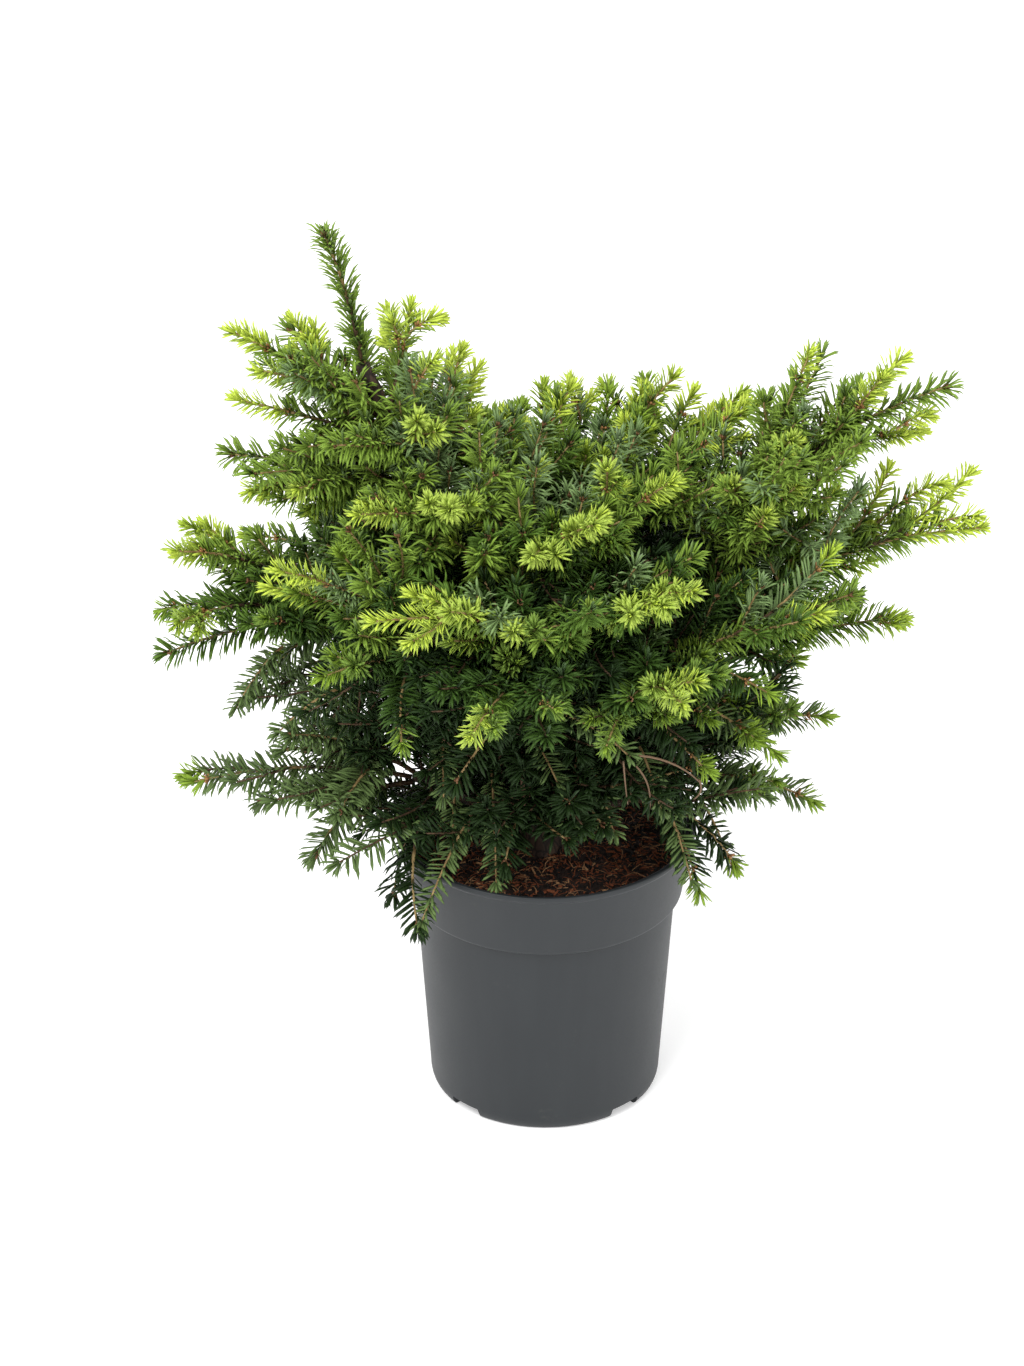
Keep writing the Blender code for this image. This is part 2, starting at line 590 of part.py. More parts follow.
def plan_foliage(pieces, trunk):
    """Every foliage's shoots. A shoot that leaves its own space or meets another piece is left out.

    Long shoots come first, with a short needled end. Each is then needled as far back as its neighbours
    allow, and the side shoots fill what is left."""
    longs = {}
    for name, (_, _, _, tips) in FOLIAGE.items():
        stem = stem_path(name)
        longs[name] = [stem] + [arm_path(stem, polar(*tip)) for tip in tips[1:]]
    axes = {}
    for name, paths in longs.items():
        axes[name] = [bezier(*path, i / SPACE_STEPS) for path in paths for i in range(SPACE_STEPS + 1)]
    shoots = []

    def blocker(shoot, tree):
        for other in shoots:
            if other is not shoot and other["name"] != shoot["name"] and tree.overlap(other["tree"]):
                return other["name"]
            if other["name"] == shoot["name"] and shoot["kind"] == "side" and other is not shoot["parent"]:
                if tree.overlap(other["tree"]):
                    return other["name"]
        for piece in pieces:
            if tree.overlap(piece):
                return "pot, soil or bough"
        if not shoot["on_trunk"] and tree.overlap(trunk):
            return "trunk"
        return None

    def fitted(shoot, lengths):
        """The first needled length that is clear of all else."""
        blocked = "its own foot"
        for needled in lengths:
            if needled < path_length(shoot["path"]) - BARE_FOOT:
                tree = swollen_tree(shoot["path"], needled, shoot["seed"])
                blocked = blocker(shoot, tree)
                if not blocked:
                    shoot["needled"] = needled
                    shoot["tree"] = tree
                    return None
        return blocked

    for name, paths in longs.items():
        for index, path in enumerate(paths):
            on_trunk = index == 0 and not isinstance(FOLIAGE[name][0], str)
            shoot = {"name": name, "path": path, "kind": "long", "parent": None, "on_trunk": on_trunk,
                     "seed": "%s long %d" % (name, index)}
            blocked = fitted(shoot, FIRST_LENGTHS)
            if blocked:
                print("left out: long shoot", index, "of", name, "meets", blocked)
                if index == 0:
                    break
            else:
                shoots.append(shoot)
    for shoot in shoots:
        fitted(shoot, NEEDLED_LENGTHS)
    for parent in list(shoots):
        name = parent["name"]
        rng = random.Random(parent["seed"])
        for number, side in enumerate(side_paths(parent["path"], FOLIAGE[name][1], rng)):
            for path in side:
                if nearest_owner(bezier(*path, SPACE_MARK), axes) == name:
                    shoot = {"name": name, "path": path, "kind": "side", "parent": parent,
                             "on_trunk": False, "seed": "%s side %d" % (parent["seed"], number)}
                    if not fitted(shoot, [path_length(path) - SIDE_ROOT]):
                        shoots.append(shoot)
                        break
    return shoots


def joined_foliage(name, shoots, collection, material):
    """Stem and shoots fused into one closed body."""
    loose = bpy.data.collections.new(name + "_shoots")
    bpy.context.scene.collection.children.link(loose)
    meshes = [shoot_mesh(shoot["path"], shoot["needled"], random.Random(shoot["seed"])) for shoot in shoots]
    for mesh in meshes[1:]:
        link_mesh("shoot", mesh, loose, None)
    body = link_mesh(name, meshes[0], collection, material)
    join = body.modifiers.new("join", "BOOLEAN")
    join.operation = "UNION"
    join.operand_type = "COLLECTION"
    join.collection = loose
    graph = bpy.context.evaluated_depsgraph_get()
    mesh = bpy.data.meshes.new_from_object(body.evaluated_get(graph))
    body.modifiers.clear()
    keep_largest(mesh, name)
    mesh.materials.clear()
    mesh.materials.append(material)
    old = body.data
    body.data = mesh
    bpy.data.meshes.remove(old)
    for obj in list(loose.objects):
        bpy.data.objects.remove(obj, do_unlink=True)
    bpy.data.collections.remove(loose)
    return body


def keep_largest(mesh, name):
    """Drops loose scrap and the walls of sealed hollows: only the largest shell stays."""
    bm = bmesh.new()
    bm.from_mesh(mesh)
    bmesh.ops.remove_doubles(bm, verts=bm.verts, dist=CLEAN)
    bmesh.ops.dissolve_degenerate(bm, edges=bm.edges, dist=CLEAN)
    shells = []
    seen = set()
    for face in bm.faces:
        if face in seen:
            continue
        shell = [face]
        seen.add(face)
        for member in shell:
            beside = [face for edge in member.edges if len(edge.link_faces) == 2 for face in edge.link_faces]
            for other in beside:
                if other not in seen:
                    seen.add(other)
                    shell.append(other)
        shells.append(shell)
    largest = max(shells, key=len)
    if len(largest) < WHOLE * len(bm.faces):
        print(name, "falls apart:", sorted(len(shell) for shell in shells))
    spare = [face for shell in shells if shell is not largest for face in shell]
    bmesh.ops.delete(bm, geom=spare, context="FACES")
    bmesh.ops.triangulate(bm, faces=bm.faces)
    bm.to_mesh(mesh)
    bm.free()


def main():
    clear_scene()
    plant = new_collection("potted_spruce")
    cutters = new_collection("cutters")
    plastic = principled("pot_plastic", (0.072, 0.082, 0.086), 0.55)
    earth = principled("potting_soil", (0.060, 0.024, 0.012), 0.95)
    bark = principled("bark", (0.165, 0.085, 0.045), 0.85)
    green = principled("spruce_needles", (0.045, 0.110, 0.030), 0.55)

    pot = make_pot(plant, cutters, plastic)
    soil = make_soil(plant, earth)
    trunk = link_mesh("trunk", trunk_mesh("trunk", 0.0), plant, bark)
    trunk_cutter = link_mesh("trunk_clearance", trunk_mesh("trunk_clearance", GAP), cutters, None)
    as_cutter(trunk_cutter)
    boughs = make_boughs(plant, trunk_cutter, bark)

    graph = bpy.context.evaluated_depsgraph_get()
    pieces = []
    for obj in [pot, soil, trunk, *boughs]:
        mesh = bpy.data.meshes.new_from_object(obj.evaluated_get(graph))
        pieces.append(tree_of(mesh))
        bpy.data.meshes.remove(mesh)
    trunk_tree = pieces.pop(2)
    shoots = plan_foliage(pieces, trunk_tree)
    for name, spec in FOLIAGE.items():
        own = [shoot for shoot in shoots if shoot["name"] == name]
        if own:
            body = joined_foliage(name, own, plant, green)
            if not isinstance(spec[0], str):
                cut_clear(body, trunk_cutter)
    print("shoots", len(shoots))


main()
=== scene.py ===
import math
import random

import bmesh
import bpy
import numpy as np
from mathutils import Matrix, Vector, noise


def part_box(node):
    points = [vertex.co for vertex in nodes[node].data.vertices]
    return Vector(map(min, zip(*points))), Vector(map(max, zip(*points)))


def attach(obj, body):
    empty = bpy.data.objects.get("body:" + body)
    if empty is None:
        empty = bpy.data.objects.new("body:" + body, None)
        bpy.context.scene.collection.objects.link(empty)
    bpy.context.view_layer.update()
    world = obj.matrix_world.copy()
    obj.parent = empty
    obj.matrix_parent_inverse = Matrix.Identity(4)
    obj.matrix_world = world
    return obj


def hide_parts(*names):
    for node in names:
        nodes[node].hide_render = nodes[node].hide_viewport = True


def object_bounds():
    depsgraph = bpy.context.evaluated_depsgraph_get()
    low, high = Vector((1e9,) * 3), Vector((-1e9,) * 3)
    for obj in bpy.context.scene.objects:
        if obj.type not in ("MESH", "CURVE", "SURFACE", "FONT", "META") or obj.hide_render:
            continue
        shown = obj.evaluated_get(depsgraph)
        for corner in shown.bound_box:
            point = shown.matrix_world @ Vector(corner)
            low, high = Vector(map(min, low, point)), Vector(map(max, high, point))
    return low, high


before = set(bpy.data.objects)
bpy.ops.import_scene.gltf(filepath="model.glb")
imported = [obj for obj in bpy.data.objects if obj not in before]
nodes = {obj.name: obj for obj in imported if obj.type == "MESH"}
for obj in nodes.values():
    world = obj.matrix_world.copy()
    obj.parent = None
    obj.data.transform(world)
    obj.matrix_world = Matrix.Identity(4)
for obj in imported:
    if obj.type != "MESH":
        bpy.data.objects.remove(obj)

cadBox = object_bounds()
cm = 0.01
mm = 0.001
gap = 0.3 * mm
skyward = Vector((0, 0, 1))
print("frame loaded,", len(nodes), "nodes")


def linked(name, data):
    obj = bpy.data.objects.new(name, data)
    bpy.context.scene.collection.objects.link(obj)
    return obj


# Camera

camera = {
    "elevation": 29,  # degrees above level, looking along +Y
    "distance": 3.0,
    "target": (-0.0157, 0.0, 0.211),
    "scale": 2163,  # pixels of the photo to a metre, at the target
    "rows": 1366,
    "sensor": 36,
}


def makeCamera():
    data = bpy.data.cameras.new("camera")
    data.sensor_width = camera["sensor"]
    data.lens = camera["scale"] * camera["distance"] * camera["sensor"] / camera["rows"]
    data.clip_end = 20
    eye = linked("camera", data)
    tilt = math.radians(90 - camera["elevation"])
    eye.rotation_euler = (tilt, 0, 0)
    back = Vector((0, -math.sin(tilt), math.cos(tilt)))
    eye.location = Vector(camera["target"]) + back * camera["distance"]
    bpy.context.scene.camera = eye
    print("camera set,", camera["elevation"], "degrees above level")


makeCamera()


# Shader nodes as Python expressions

class Link:
    def __init__(self, tree, socket=None):
        self.tree = tree
        self.socket = socket

    def node(self, kind, settings=None, inputs=None, out=0):
        made = self.tree.nodes.new("ShaderNode" + kind)
        for name, value in (settings or {}).items():
            setattr(made, name, value)
        for name, value in (inputs or {}).items():
            if isinstance(value, Link):
                self.tree.links.new(value.socket, made.inputs[name])
            else:
                made.inputs[name].default_value = value
        return Link(self.tree, made.outputs[out])

    def maths(self, operation, *values):
        return self.node("Math", {"operation": operation}, dict(enumerate(values)))

    def __add__(self, other):
        return self.maths("ADD", self, other)

    def __sub__(self, other):
        return self.maths("SUBTRACT", self, other)

    def __rsub__(self, other):
        return self.maths("SUBTRACT", other, self)

    def __mul__(self, other):
        return self.maths("MULTIPLY", self, other)

    def clamped(self, low, high):
        ends = {"Value": self, "From Min": low, "From Max": high}
        return self.node("MapRange", None, ends)

    __radd__ = __add__
    __rmul__ = __mul__


def newMaterial(name, colour, roughness):
    # returns the material, its shader and a starting link
    material = bpy.data.materials.new(name)
    material.use_nodes = True
    shader = material.node_tree.nodes["Principled BSDF"]
    shader.inputs["Base Color"].default_value = (*colour, 1)
    shader.inputs["Roughness"].default_value = roughness
    return material, shader, Link(material.node_tree)


def feed(link, shader, name):
    link.tree.links.new(link.socket, shader.inputs[name])


def placed(link, scale=(1, 1, 1)):
    # object coordinates, stretched
    place = link.node("TexCoord", out="Object")
    return link.node("Mapping", None, {"Vector": place, "Scale": scale})


def noiseOn(link, place, scale, detail=3.0, roughness=0.5):
    return link.node("TexNoise", None, {
        "Vector": place, "Scale": scale, "Detail": detail, "Roughness": roughness})


def blend(link, factor, first, second):
    colours = [value if isinstance(value, Link) else (*value, 1) for value in (first, second)]
    return link.node("Mix", {"data_type": "RGBA"}, {0: factor, 6: colours[0], 7: colours[1]}, out=2)


def bumped(link, shader, height, strength, distance):
    normal = link.node("Bump", None, {"Height": height, "Strength": strength, "Distance": distance})
    feed(normal, shader, "Normal")


# Small mesh helpers

def addPiece(name, mesh, material, replaced=()):
    obj = linked(name, mesh)
    mesh.materials.clear()
    for each in material if isinstance(material, (list, tuple)) else [material]:
        mesh.materials.append(each)
    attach(obj, "root")
    if replaced:
        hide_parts(*replaced)


def meshFrom(bm, name, smoothAngle=None):
    mesh = bpy.data.meshes.new(name)
    bm.to_mesh(mesh)
    bm.free()
    if smoothAngle:
        mesh.shade_smooth()
        mesh.set_sharp_from_angle(angle=math.radians(smoothAngle))
    return mesh


def filleted(corners, steps=4):
    # (radius, height, fillet) corners as a profile with round corners
    profile = []
    for index, (radius, height, fillet) in enumerate(corners):
        here = Vector((radius, height))
        if not fillet or index in (0, len(corners) - 1):
            profile.append(here)
            continue
        before = (Vector(corners[index - 1][:2]) - here).normalized()
        after = (Vector(corners[index + 1][:2]) - here).normalized()
        for step in range(steps + 1):
            t = step / steps
            start, end = here + before * fillet, here + after * fillet
            profile.append(start * (1 - t) ** 2 + here * 2 * t * (1 - t) + end * t ** 2)
    return profile


def turned(profile, steps):
    # a profile spun about the axis of the pot, closed at its poles
    bm = bmesh.new()
    verts = [bm.verts.new((point.x, 0, point.y)) for point in profile]
    edges = [bm.edges.new(pair) for pair in zip(verts, verts[1:])]
    bmesh.ops.spin(bm, geom=verts + edges, cent=(0, 0, 0), axis=(0, 0, 1), angle=math.tau,
                   steps=steps, use_merge=True)
    bmesh.ops.remove_doubles(bm, verts=bm.verts, dist=0.01 * mm)
    bmesh.ops.recalc_face_normals(bm, faces=bm.faces)
    return bm


# Pot

pot = {
    "height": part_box("pot")[1].z,
    "rim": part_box("pot")[1].x,
    "lip": 2.6 * mm,
    "bandFoot": 102.5 * mm,
    "bandFootRadius": 64.2 * mm,
    "bandShoulder": 4.0 * mm,
    "bodyTop": 60.8 * mm,
    "bodyFoot": 54.3 * mm,
    "corner": 7.5 * mm,
    "foot": 50.8 * mm,
    "footWidth": 4.5 * mm,
    "wall": 1.5 * mm,
    "floor": 7.0 * mm,
    "channel": 5.2 * mm,
    "disc": 32.5 * mm,
    "notches": 4,
    "notchWidth": 17.0 * mm,
    "notchRise": 5.1 * mm,
    "notchEdge": 0.8 * mm,
    "cutter": 0.03,  # length of the block that cuts a notch
    "cutterOut": 14 * mm,  # from the inside of the foot ring to its middle
    "steps": 144,
}


def potPlastic():
    material, shader, link = newMaterial("pot_plastic", (0.019, 0.021, 0.023), 0.5)
    shader.inputs["Specular IOR Level"].default_value = 0.35
    place = placed(link)
    drawn = placed(link, (1, 1, 0.15))  # streaks down the wall, from the mould
    cloud = noiseOn(link, place, 22, 4).clamped(0.3, 0.7)
    streak = noiseOn(link, drawn, 140, 2).clamped(0.35, 0.75)
    fine = noiseOn(link, place, 900, 2)
    scuff = noiseOn(link, place, 60, 6, 0.75).clamped(0.62, 0.72)
    colour = blend(link, cloud * 0.5 + streak * 0.3, (0.0132, 0.0160, 0.0182), (0.0195, 0.0226, 0.0252))
    feed(blend(link, scuff * 0.35, colour, (0.055, 0.055, 0.050)), shader, "Base Color")
    feed(cloud * 0.08 + fine * 0.10 + 0.40 + scuff * 0.12, shader, "Roughness")
    bumped(link, shader, fine * 0.4 + streak * 0.3, 0.25, 0.05 * mm)
    return material


def makePot():
    p = pot
    edge = 0.9 * mm
    lipInner = p["rim"] - p["lip"]
    corners = [
        (0.0, p["floor"], 0),
        (p["bodyFoot"] - p["wall"], p["floor"], 2.5 * mm),
        (p["bodyTop"] - p["wall"], p["bandFoot"], 0.8 * mm),
        (p["bandFootRadius"] - p["wall"], p["bandFoot"] + p["bandShoulder"], 0.8 * mm),
        (lipInner, p["height"] - 0.6 * mm, 0.4 * mm),
        (lipInner + edge, p["height"], 0.5 * mm),
        (p["rim"], p["height"], edge),
        (p["rim"], p["height"] - p["lip"], edge),
        (p["rim"] - 1.2 * mm, p["height"] - p["lip"] - 1.0 * mm, 0.5 * mm),
        (p["bandFootRadius"] + 0.2 * mm, p["bandFoot"] + 1.2 * mm, 0.6 * mm),
        (p["bandFootRadius"] - 0.6 * mm, p["bandFoot"], 0.6 * mm),
        (p["bodyTop"] + 0.2 * mm, p["bandFoot"] - 0.2 * mm, 0.8 * mm),
    ]
    profile = filleted(corners)
    across, steps = p["bodyFoot"] - p["foot"], 7
    for step in range(steps + 1):  # the rounded corner at the foot
        angle = math.pi / 2 * step / steps
        inward = across * (1 - math.cos(angle))
        profile.append(Vector((p["bodyFoot"] - inward, p["corner"] * (1 - math.sin(angle)))))
    channelOuter = p["foot"] - p["footWidth"]
    for corner in ((channelOuter, 0), (channelOuter, p["channel"]), (p["disc"], p["channel"]),
                   (p["disc"], 0), (0, 0)):
        profile.append(Vector(corner))
    body = linked("pot_turned", meshFrom(turned(profile, p["steps"]), "pot_turned"))

    bm = bmesh.new()
    for index in range(p["notches"]):
        cube = bmesh.ops.create_cube(bm, size=1.0)["verts"]
        bmesh.ops.scale(bm, vec=(p["cutter"], p["notchWidth"], 2 * p["notchRise"]), verts=cube)
        bmesh.ops.translate(bm, vec=(channelOuter + p["cutterOut"], 0, 0), verts=cube)
        turn = Matrix.Rotation(math.tau * (index + 0.5) / p["notches"], 3, "Z")
        bmesh.ops.rotate(bm, cent=(0, 0, 0), matrix=turn, verts=cube)
    bmesh.ops.bevel(bm, geom=bm.edges[:], offset=p["notchEdge"], offset_type="OFFSET", affect="EDGES",
                    segments=3, profile=0.5, material=-1)
    cutter = linked("notches", meshFrom(bm, "notches"))
    cut = body.modifiers.new("notches", "BOOLEAN")
    cut.operation = "DIFFERENCE"
    cut.object = cutter
    graph = bpy.context.evaluated_depsgraph_get()
    mesh = bpy.data.meshes.new_from_object(body.evaluated_get(graph))
    bpy.data.objects.remove(cutter)
    bpy.data.objects.remove(body)
    mesh.name = "pot_body"
    mesh.shade_smooth()
    mesh.set_sharp_from_angle(angle=math.radians(38))
    addPiece("pot_body", mesh, potPlastic(), ["pot"])
    print("pot:", len(mesh.polygons), "faces")


makePot()


# Soil

soil = {
    "top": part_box("soil")[1].z,
    "radius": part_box("soil")[1].x,
    "floor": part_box("soil")[0].z,
    "dip": 2.0 * mm,
    "rings": 34,
    "steps": 150,
    "relief": 1.6 * mm,
    "mound": 2.6 * mm,
    "moundRadius": 22 * mm,
}


def soilHeight(x, y):
    # the surface of the soil: lumps, a low mound at the trunk and a dip at the wall
    radius = math.hypot(x, y)
    lumps = noise.noise(Vector((x, y, 0)) * 110) * 0.6 + noise.noise(Vector((x, y, 3)) * 330) * 0.4
    dip = soil["dip"] * min(1.0, radius / soil["radius"]) ** 2
    mound = soil["mound"] * math.exp(-(radius / soil["moundRadius"]) ** 2)
    return soil["top"] + mound - dip - soil["relief"] * (0.55 - 0.75 * lumps)


def darkSoil():
    material, shader, link = newMaterial("potting_soil", (0.012, 0.006, 0.004), 0.95)
    place = placed(link)
    grain = noiseOn(link, place, 420, 5, 0.7).clamped(0.35, 0.7)
    patch = noiseOn(link, place, 60, 3).clamped(0.35, 0.65)
    colour = blend(link, grain, (0.002, 0.001, 0.0008), (0.060, 0.022, 0.009))
    feed(blend(link, patch * 0.4, colour, (0.016, 0.005, 0.002)), shader, "Base Color")
    bumped(link, shader, grain, 1.0, 1.2 * mm)
    return material


def makeSoil():
    s = soil
    inside = pot["wall"] + gap
    profile = [Vector((s["radius"] * i / s["rings"], s["top"])) for i in range(s["rings"] + 1)]
    profile += [Vector(point) for point in (
        (pot["bandFootRadius"] - inside, pot["bandFoot"] + pot["bandShoulder"]),
        (pot["bodyTop"] - inside, pot["bandFoot"]), (pot["bodyFoot"] - inside, s["floor"]), (0, s["floor"]))]
    bm = turned(profile, s["steps"])
    for vert in bm.verts:
        if vert.co.z > s["top"] - 1 * mm:
            vert.co.z = soilHeight(vert.co.x, vert.co.y)
    bmesh.ops.recalc_face_normals(bm, faces=bm.faces)
    addPiece("soil_bed", meshFrom(bm, "soil_bed", 60), darkSoil(), ["soil"])


makeSoil()


# Curves: a start, a bend and an end

def bezier(path, t):
    start, bend, end = path
    return start * (1 - t) ** 2 + bend * (2 * t * (1 - t)) + end * t ** 2


def bezierDirection(path, t):
    start, bend, end = path
    return ((bend - start) * (1 - t) + (end - bend) * t).normalized()


def pathLength(path):
    # straight from end to end
    return (path[2] - path[0]).length


def polar(azimuth, reach, height):
    # degrees and centimetres
    angle = math.radians(azimuth)
    return Vector((reach * cm * math.cos(angle), reach * cm * math.sin(angle), height * cm))


def curvePoints(path, t):
    # places on a curve and the way it runs there, for a column of shares
    start, bend, end = (np.array(point) for point in path)
    place = start * (1 - t) ** 2 + bend * 2 * t * (1 - t) + end * t ** 2
    along = (bend - start) * (1 - t) + (end - bend) * t
    return place, along / np.linalg.norm(along, axis=1, keepdims=True)


def tubeArrays(path, radii, rings, sides):
    # vertices and faces of a closed round tube along a curve
    ts = np.linspace(0, 1, rings)[:, None]
    middle, along = curvePoints(path, ts)
    across = np.cross(along, (0.31, 0.17, 0.93))
    across /= np.linalg.norm(across, axis=1, keepdims=True)
    over = np.cross(along, across)
    angle = np.linspace(0, math.tau, sides, endpoint=False)[None, :, None]
    ring = np.cos(angle) * across[:, None] + np.sin(angle) * over[:, None]
    thick = (radii[0] + (radii[1] - radii[0]) * ts)[:, :, None]
    verts = (middle[:, None] + ring * thick).reshape(-1, 3)
    faces = []
    for i in range(rings - 1):
        for j in range(sides):
            k = (j + 1) % sides
            faces.append((i * sides + j, i * sides + k, (i + 1) * sides + k, (i + 1) * sides + j))
    faces.append(tuple(range(sides))[::-1])
    faces.append(tuple((rings - 1) * sides + j for j in range(sides)))
    return verts, faces


def joinedTubes(name, tubes, rings, sides):
    # many tubes as one mesh
    verts, faces = [], []
    for path, radii in tubes:
        own, around = tubeArrays(path, radii, rings, sides)
        base = len(verts) * rings * sides
        verts.append(own)
        faces += [tuple(base + i for i in face) for face in around]
    mesh = bpy.data.meshes.new(name)
    mesh.from_pydata(np.concatenate(verts).tolist(), [], faces)
    mesh.shade_smooth()
    return mesh


litter = {  # the ranges are in millimetres
    "rim": soil["radius"] - 0.5 * mm,
    "tones": {"dark": (0.006, 0.003, 0.002), "red": (0.200, 0.056, 0.018), "tan": (0.400, 0.210, 0.100)},
    "fibres": 3000,
    "fibreLength": (2, 9),
    "fibreThick": (0.12, 0.36),
    "fibreTones": (4, 4, 2),  # shares of dark, red and tan
    "chips": 1100,
    "chipLength": (1.5, 4.0),
    "chipThick": (0.4, 0.9),
    "chipTones": (5, 5, 1),
}


def makeSoilLitter():
    # fibres and chips of bark in the soil, in three plain tones
    rng = random.Random("litter")
    tones = litter["tones"]
    tubes = {tone: [] for tone in tones}
    for _ in range(litter["fibres"]):
        radius = litter["rim"] * math.sqrt(rng.random())
        angle = rng.uniform(0, math.tau)
        heading = rng.uniform(0, math.tau)
        length = rng.uniform(*litter["fibreLength"]) * mm
        x, y = radius * math.cos(angle), radius * math.sin(angle)
        step = Vector((math.cos(heading), math.sin(heading), 0)) * length
        if math.hypot(x + step.x, y + step.y) > litter["rim"] - 1 * mm:
            continue
        start = Vector((x, y, soilHeight(x, y) - 0.3 * mm))
        end = Vector((x + step.x, y + step.y, soilHeight(x + step.x, y + step.y) - 0.2 * mm))
        bow = Vector((rng.uniform(-1, 1), rng.uniform(-1, 1), rng.uniform(0.3, 1.6))) * length * 0.3
        thick = rng.uniform(*litter["fibreThick"]) * mm
        tone = rng.choices(list(tones), litter["fibreTones"])[0]
        tubes[tone].append(((start, (start + end) / 2 + bow, end), (thick, thick * 0.6)))
    for _ in range(litter["chips"]):
        radius = litter["rim"] * math.sqrt(rng.random()) - 2 * mm
        angle = rng.uniform(0, math.tau)
        x, y = radius * math.cos(angle), radius * math.sin(angle)
        start = Vector((x, y, soilHeight(x, y)))
        length = rng.uniform(*litter["chipLength"]) * mm
        heading = Vector((rng.uniform(-1, 1), rng.uniform(-1, 1), rng.uniform(-0.2, 0.4))).normalized()
        thick = rng.uniform(*litter["chipThick"]) * mm
        tone = rng.choices(list(tones), litter["chipTones"])[0]
        end = start + heading * length
        tubes[tone].append(((start, (start + end) / 2, end), (thick, thick * 0.7)))
    for tone, colour in tones.items():
        name, material = "soil_litter_" + tone, newMaterial("litter_" + tone, colour, 0.9)[0]
        addPiece(name, joinedTubes(name, tubes[tone], 4, 4), material)
    print("soil litter:", sum(len(each) for each in tubes.values()), "bits")


makeSoilLitter()


# Trunk and boughs, the same rule as the solids

trunk = {
    "foot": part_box("trunk")[0].z,
    "tip": 0.3750,
    "lean": -0.0830,
    "leanPower": 1.25,
    "sway": 0.0030,
    "footRadius": 0.0105,
    "tipRadius": 0.0033,
    "taperPower": 0.8,
    "flare": 0.0055,
    "flareHeight": 0.0180,
    "roots": 4,
    "rootLobe": 0.4,
    "rootTurn": 0.5,
}

# height on the trunk, azimuth, reach and height of the end, radius there, in degrees and centimetres
boughs = {
    "bough_right_stem": (19.0, 6, 7.4, 25.4, 0.34),
    "bough_right": (17.0, 0, 6.8, 21.6, 0.32),
    "bough_right_low": (15.6, 354, 5.2, 16.4, 0.30),
    "bough_middle": (20.4, 60, 1.6, 25.4, 0.32),
    "bough_front": (18.6, 262, 4.0, 22.6, 0.34),
    "bough_front_left": (20.6, 218, 6.4, 24.2, 0.30),
    "bough_front_right": (17.8, 308, 4.6, 21.4, 0.34),
    "bough_left": (19.8, 180, 8.2, 23.2, 0.30),
    "bough_left_low": (15.6, 188, 6.2, 16.6, 0.34),
    "bough_low_left": (14.2, 222, 5.2, 17.0, 0.32),
    "bough_low_right": (14.0, 326, 4.2, 16.2, 0.32),
    "bough_back": (19.2, 92, 4.6, 23.8, 0.32),
    "bough_back_left": (17.2, 140, 6.2, 20.8, 0.32),
    "bough_back_right": (14.2, 48, 5.4, 19.8, 0.32),
}
boughForm = {"footRadius": 0.0046, "sag": 0.12, "taper": 0.6}

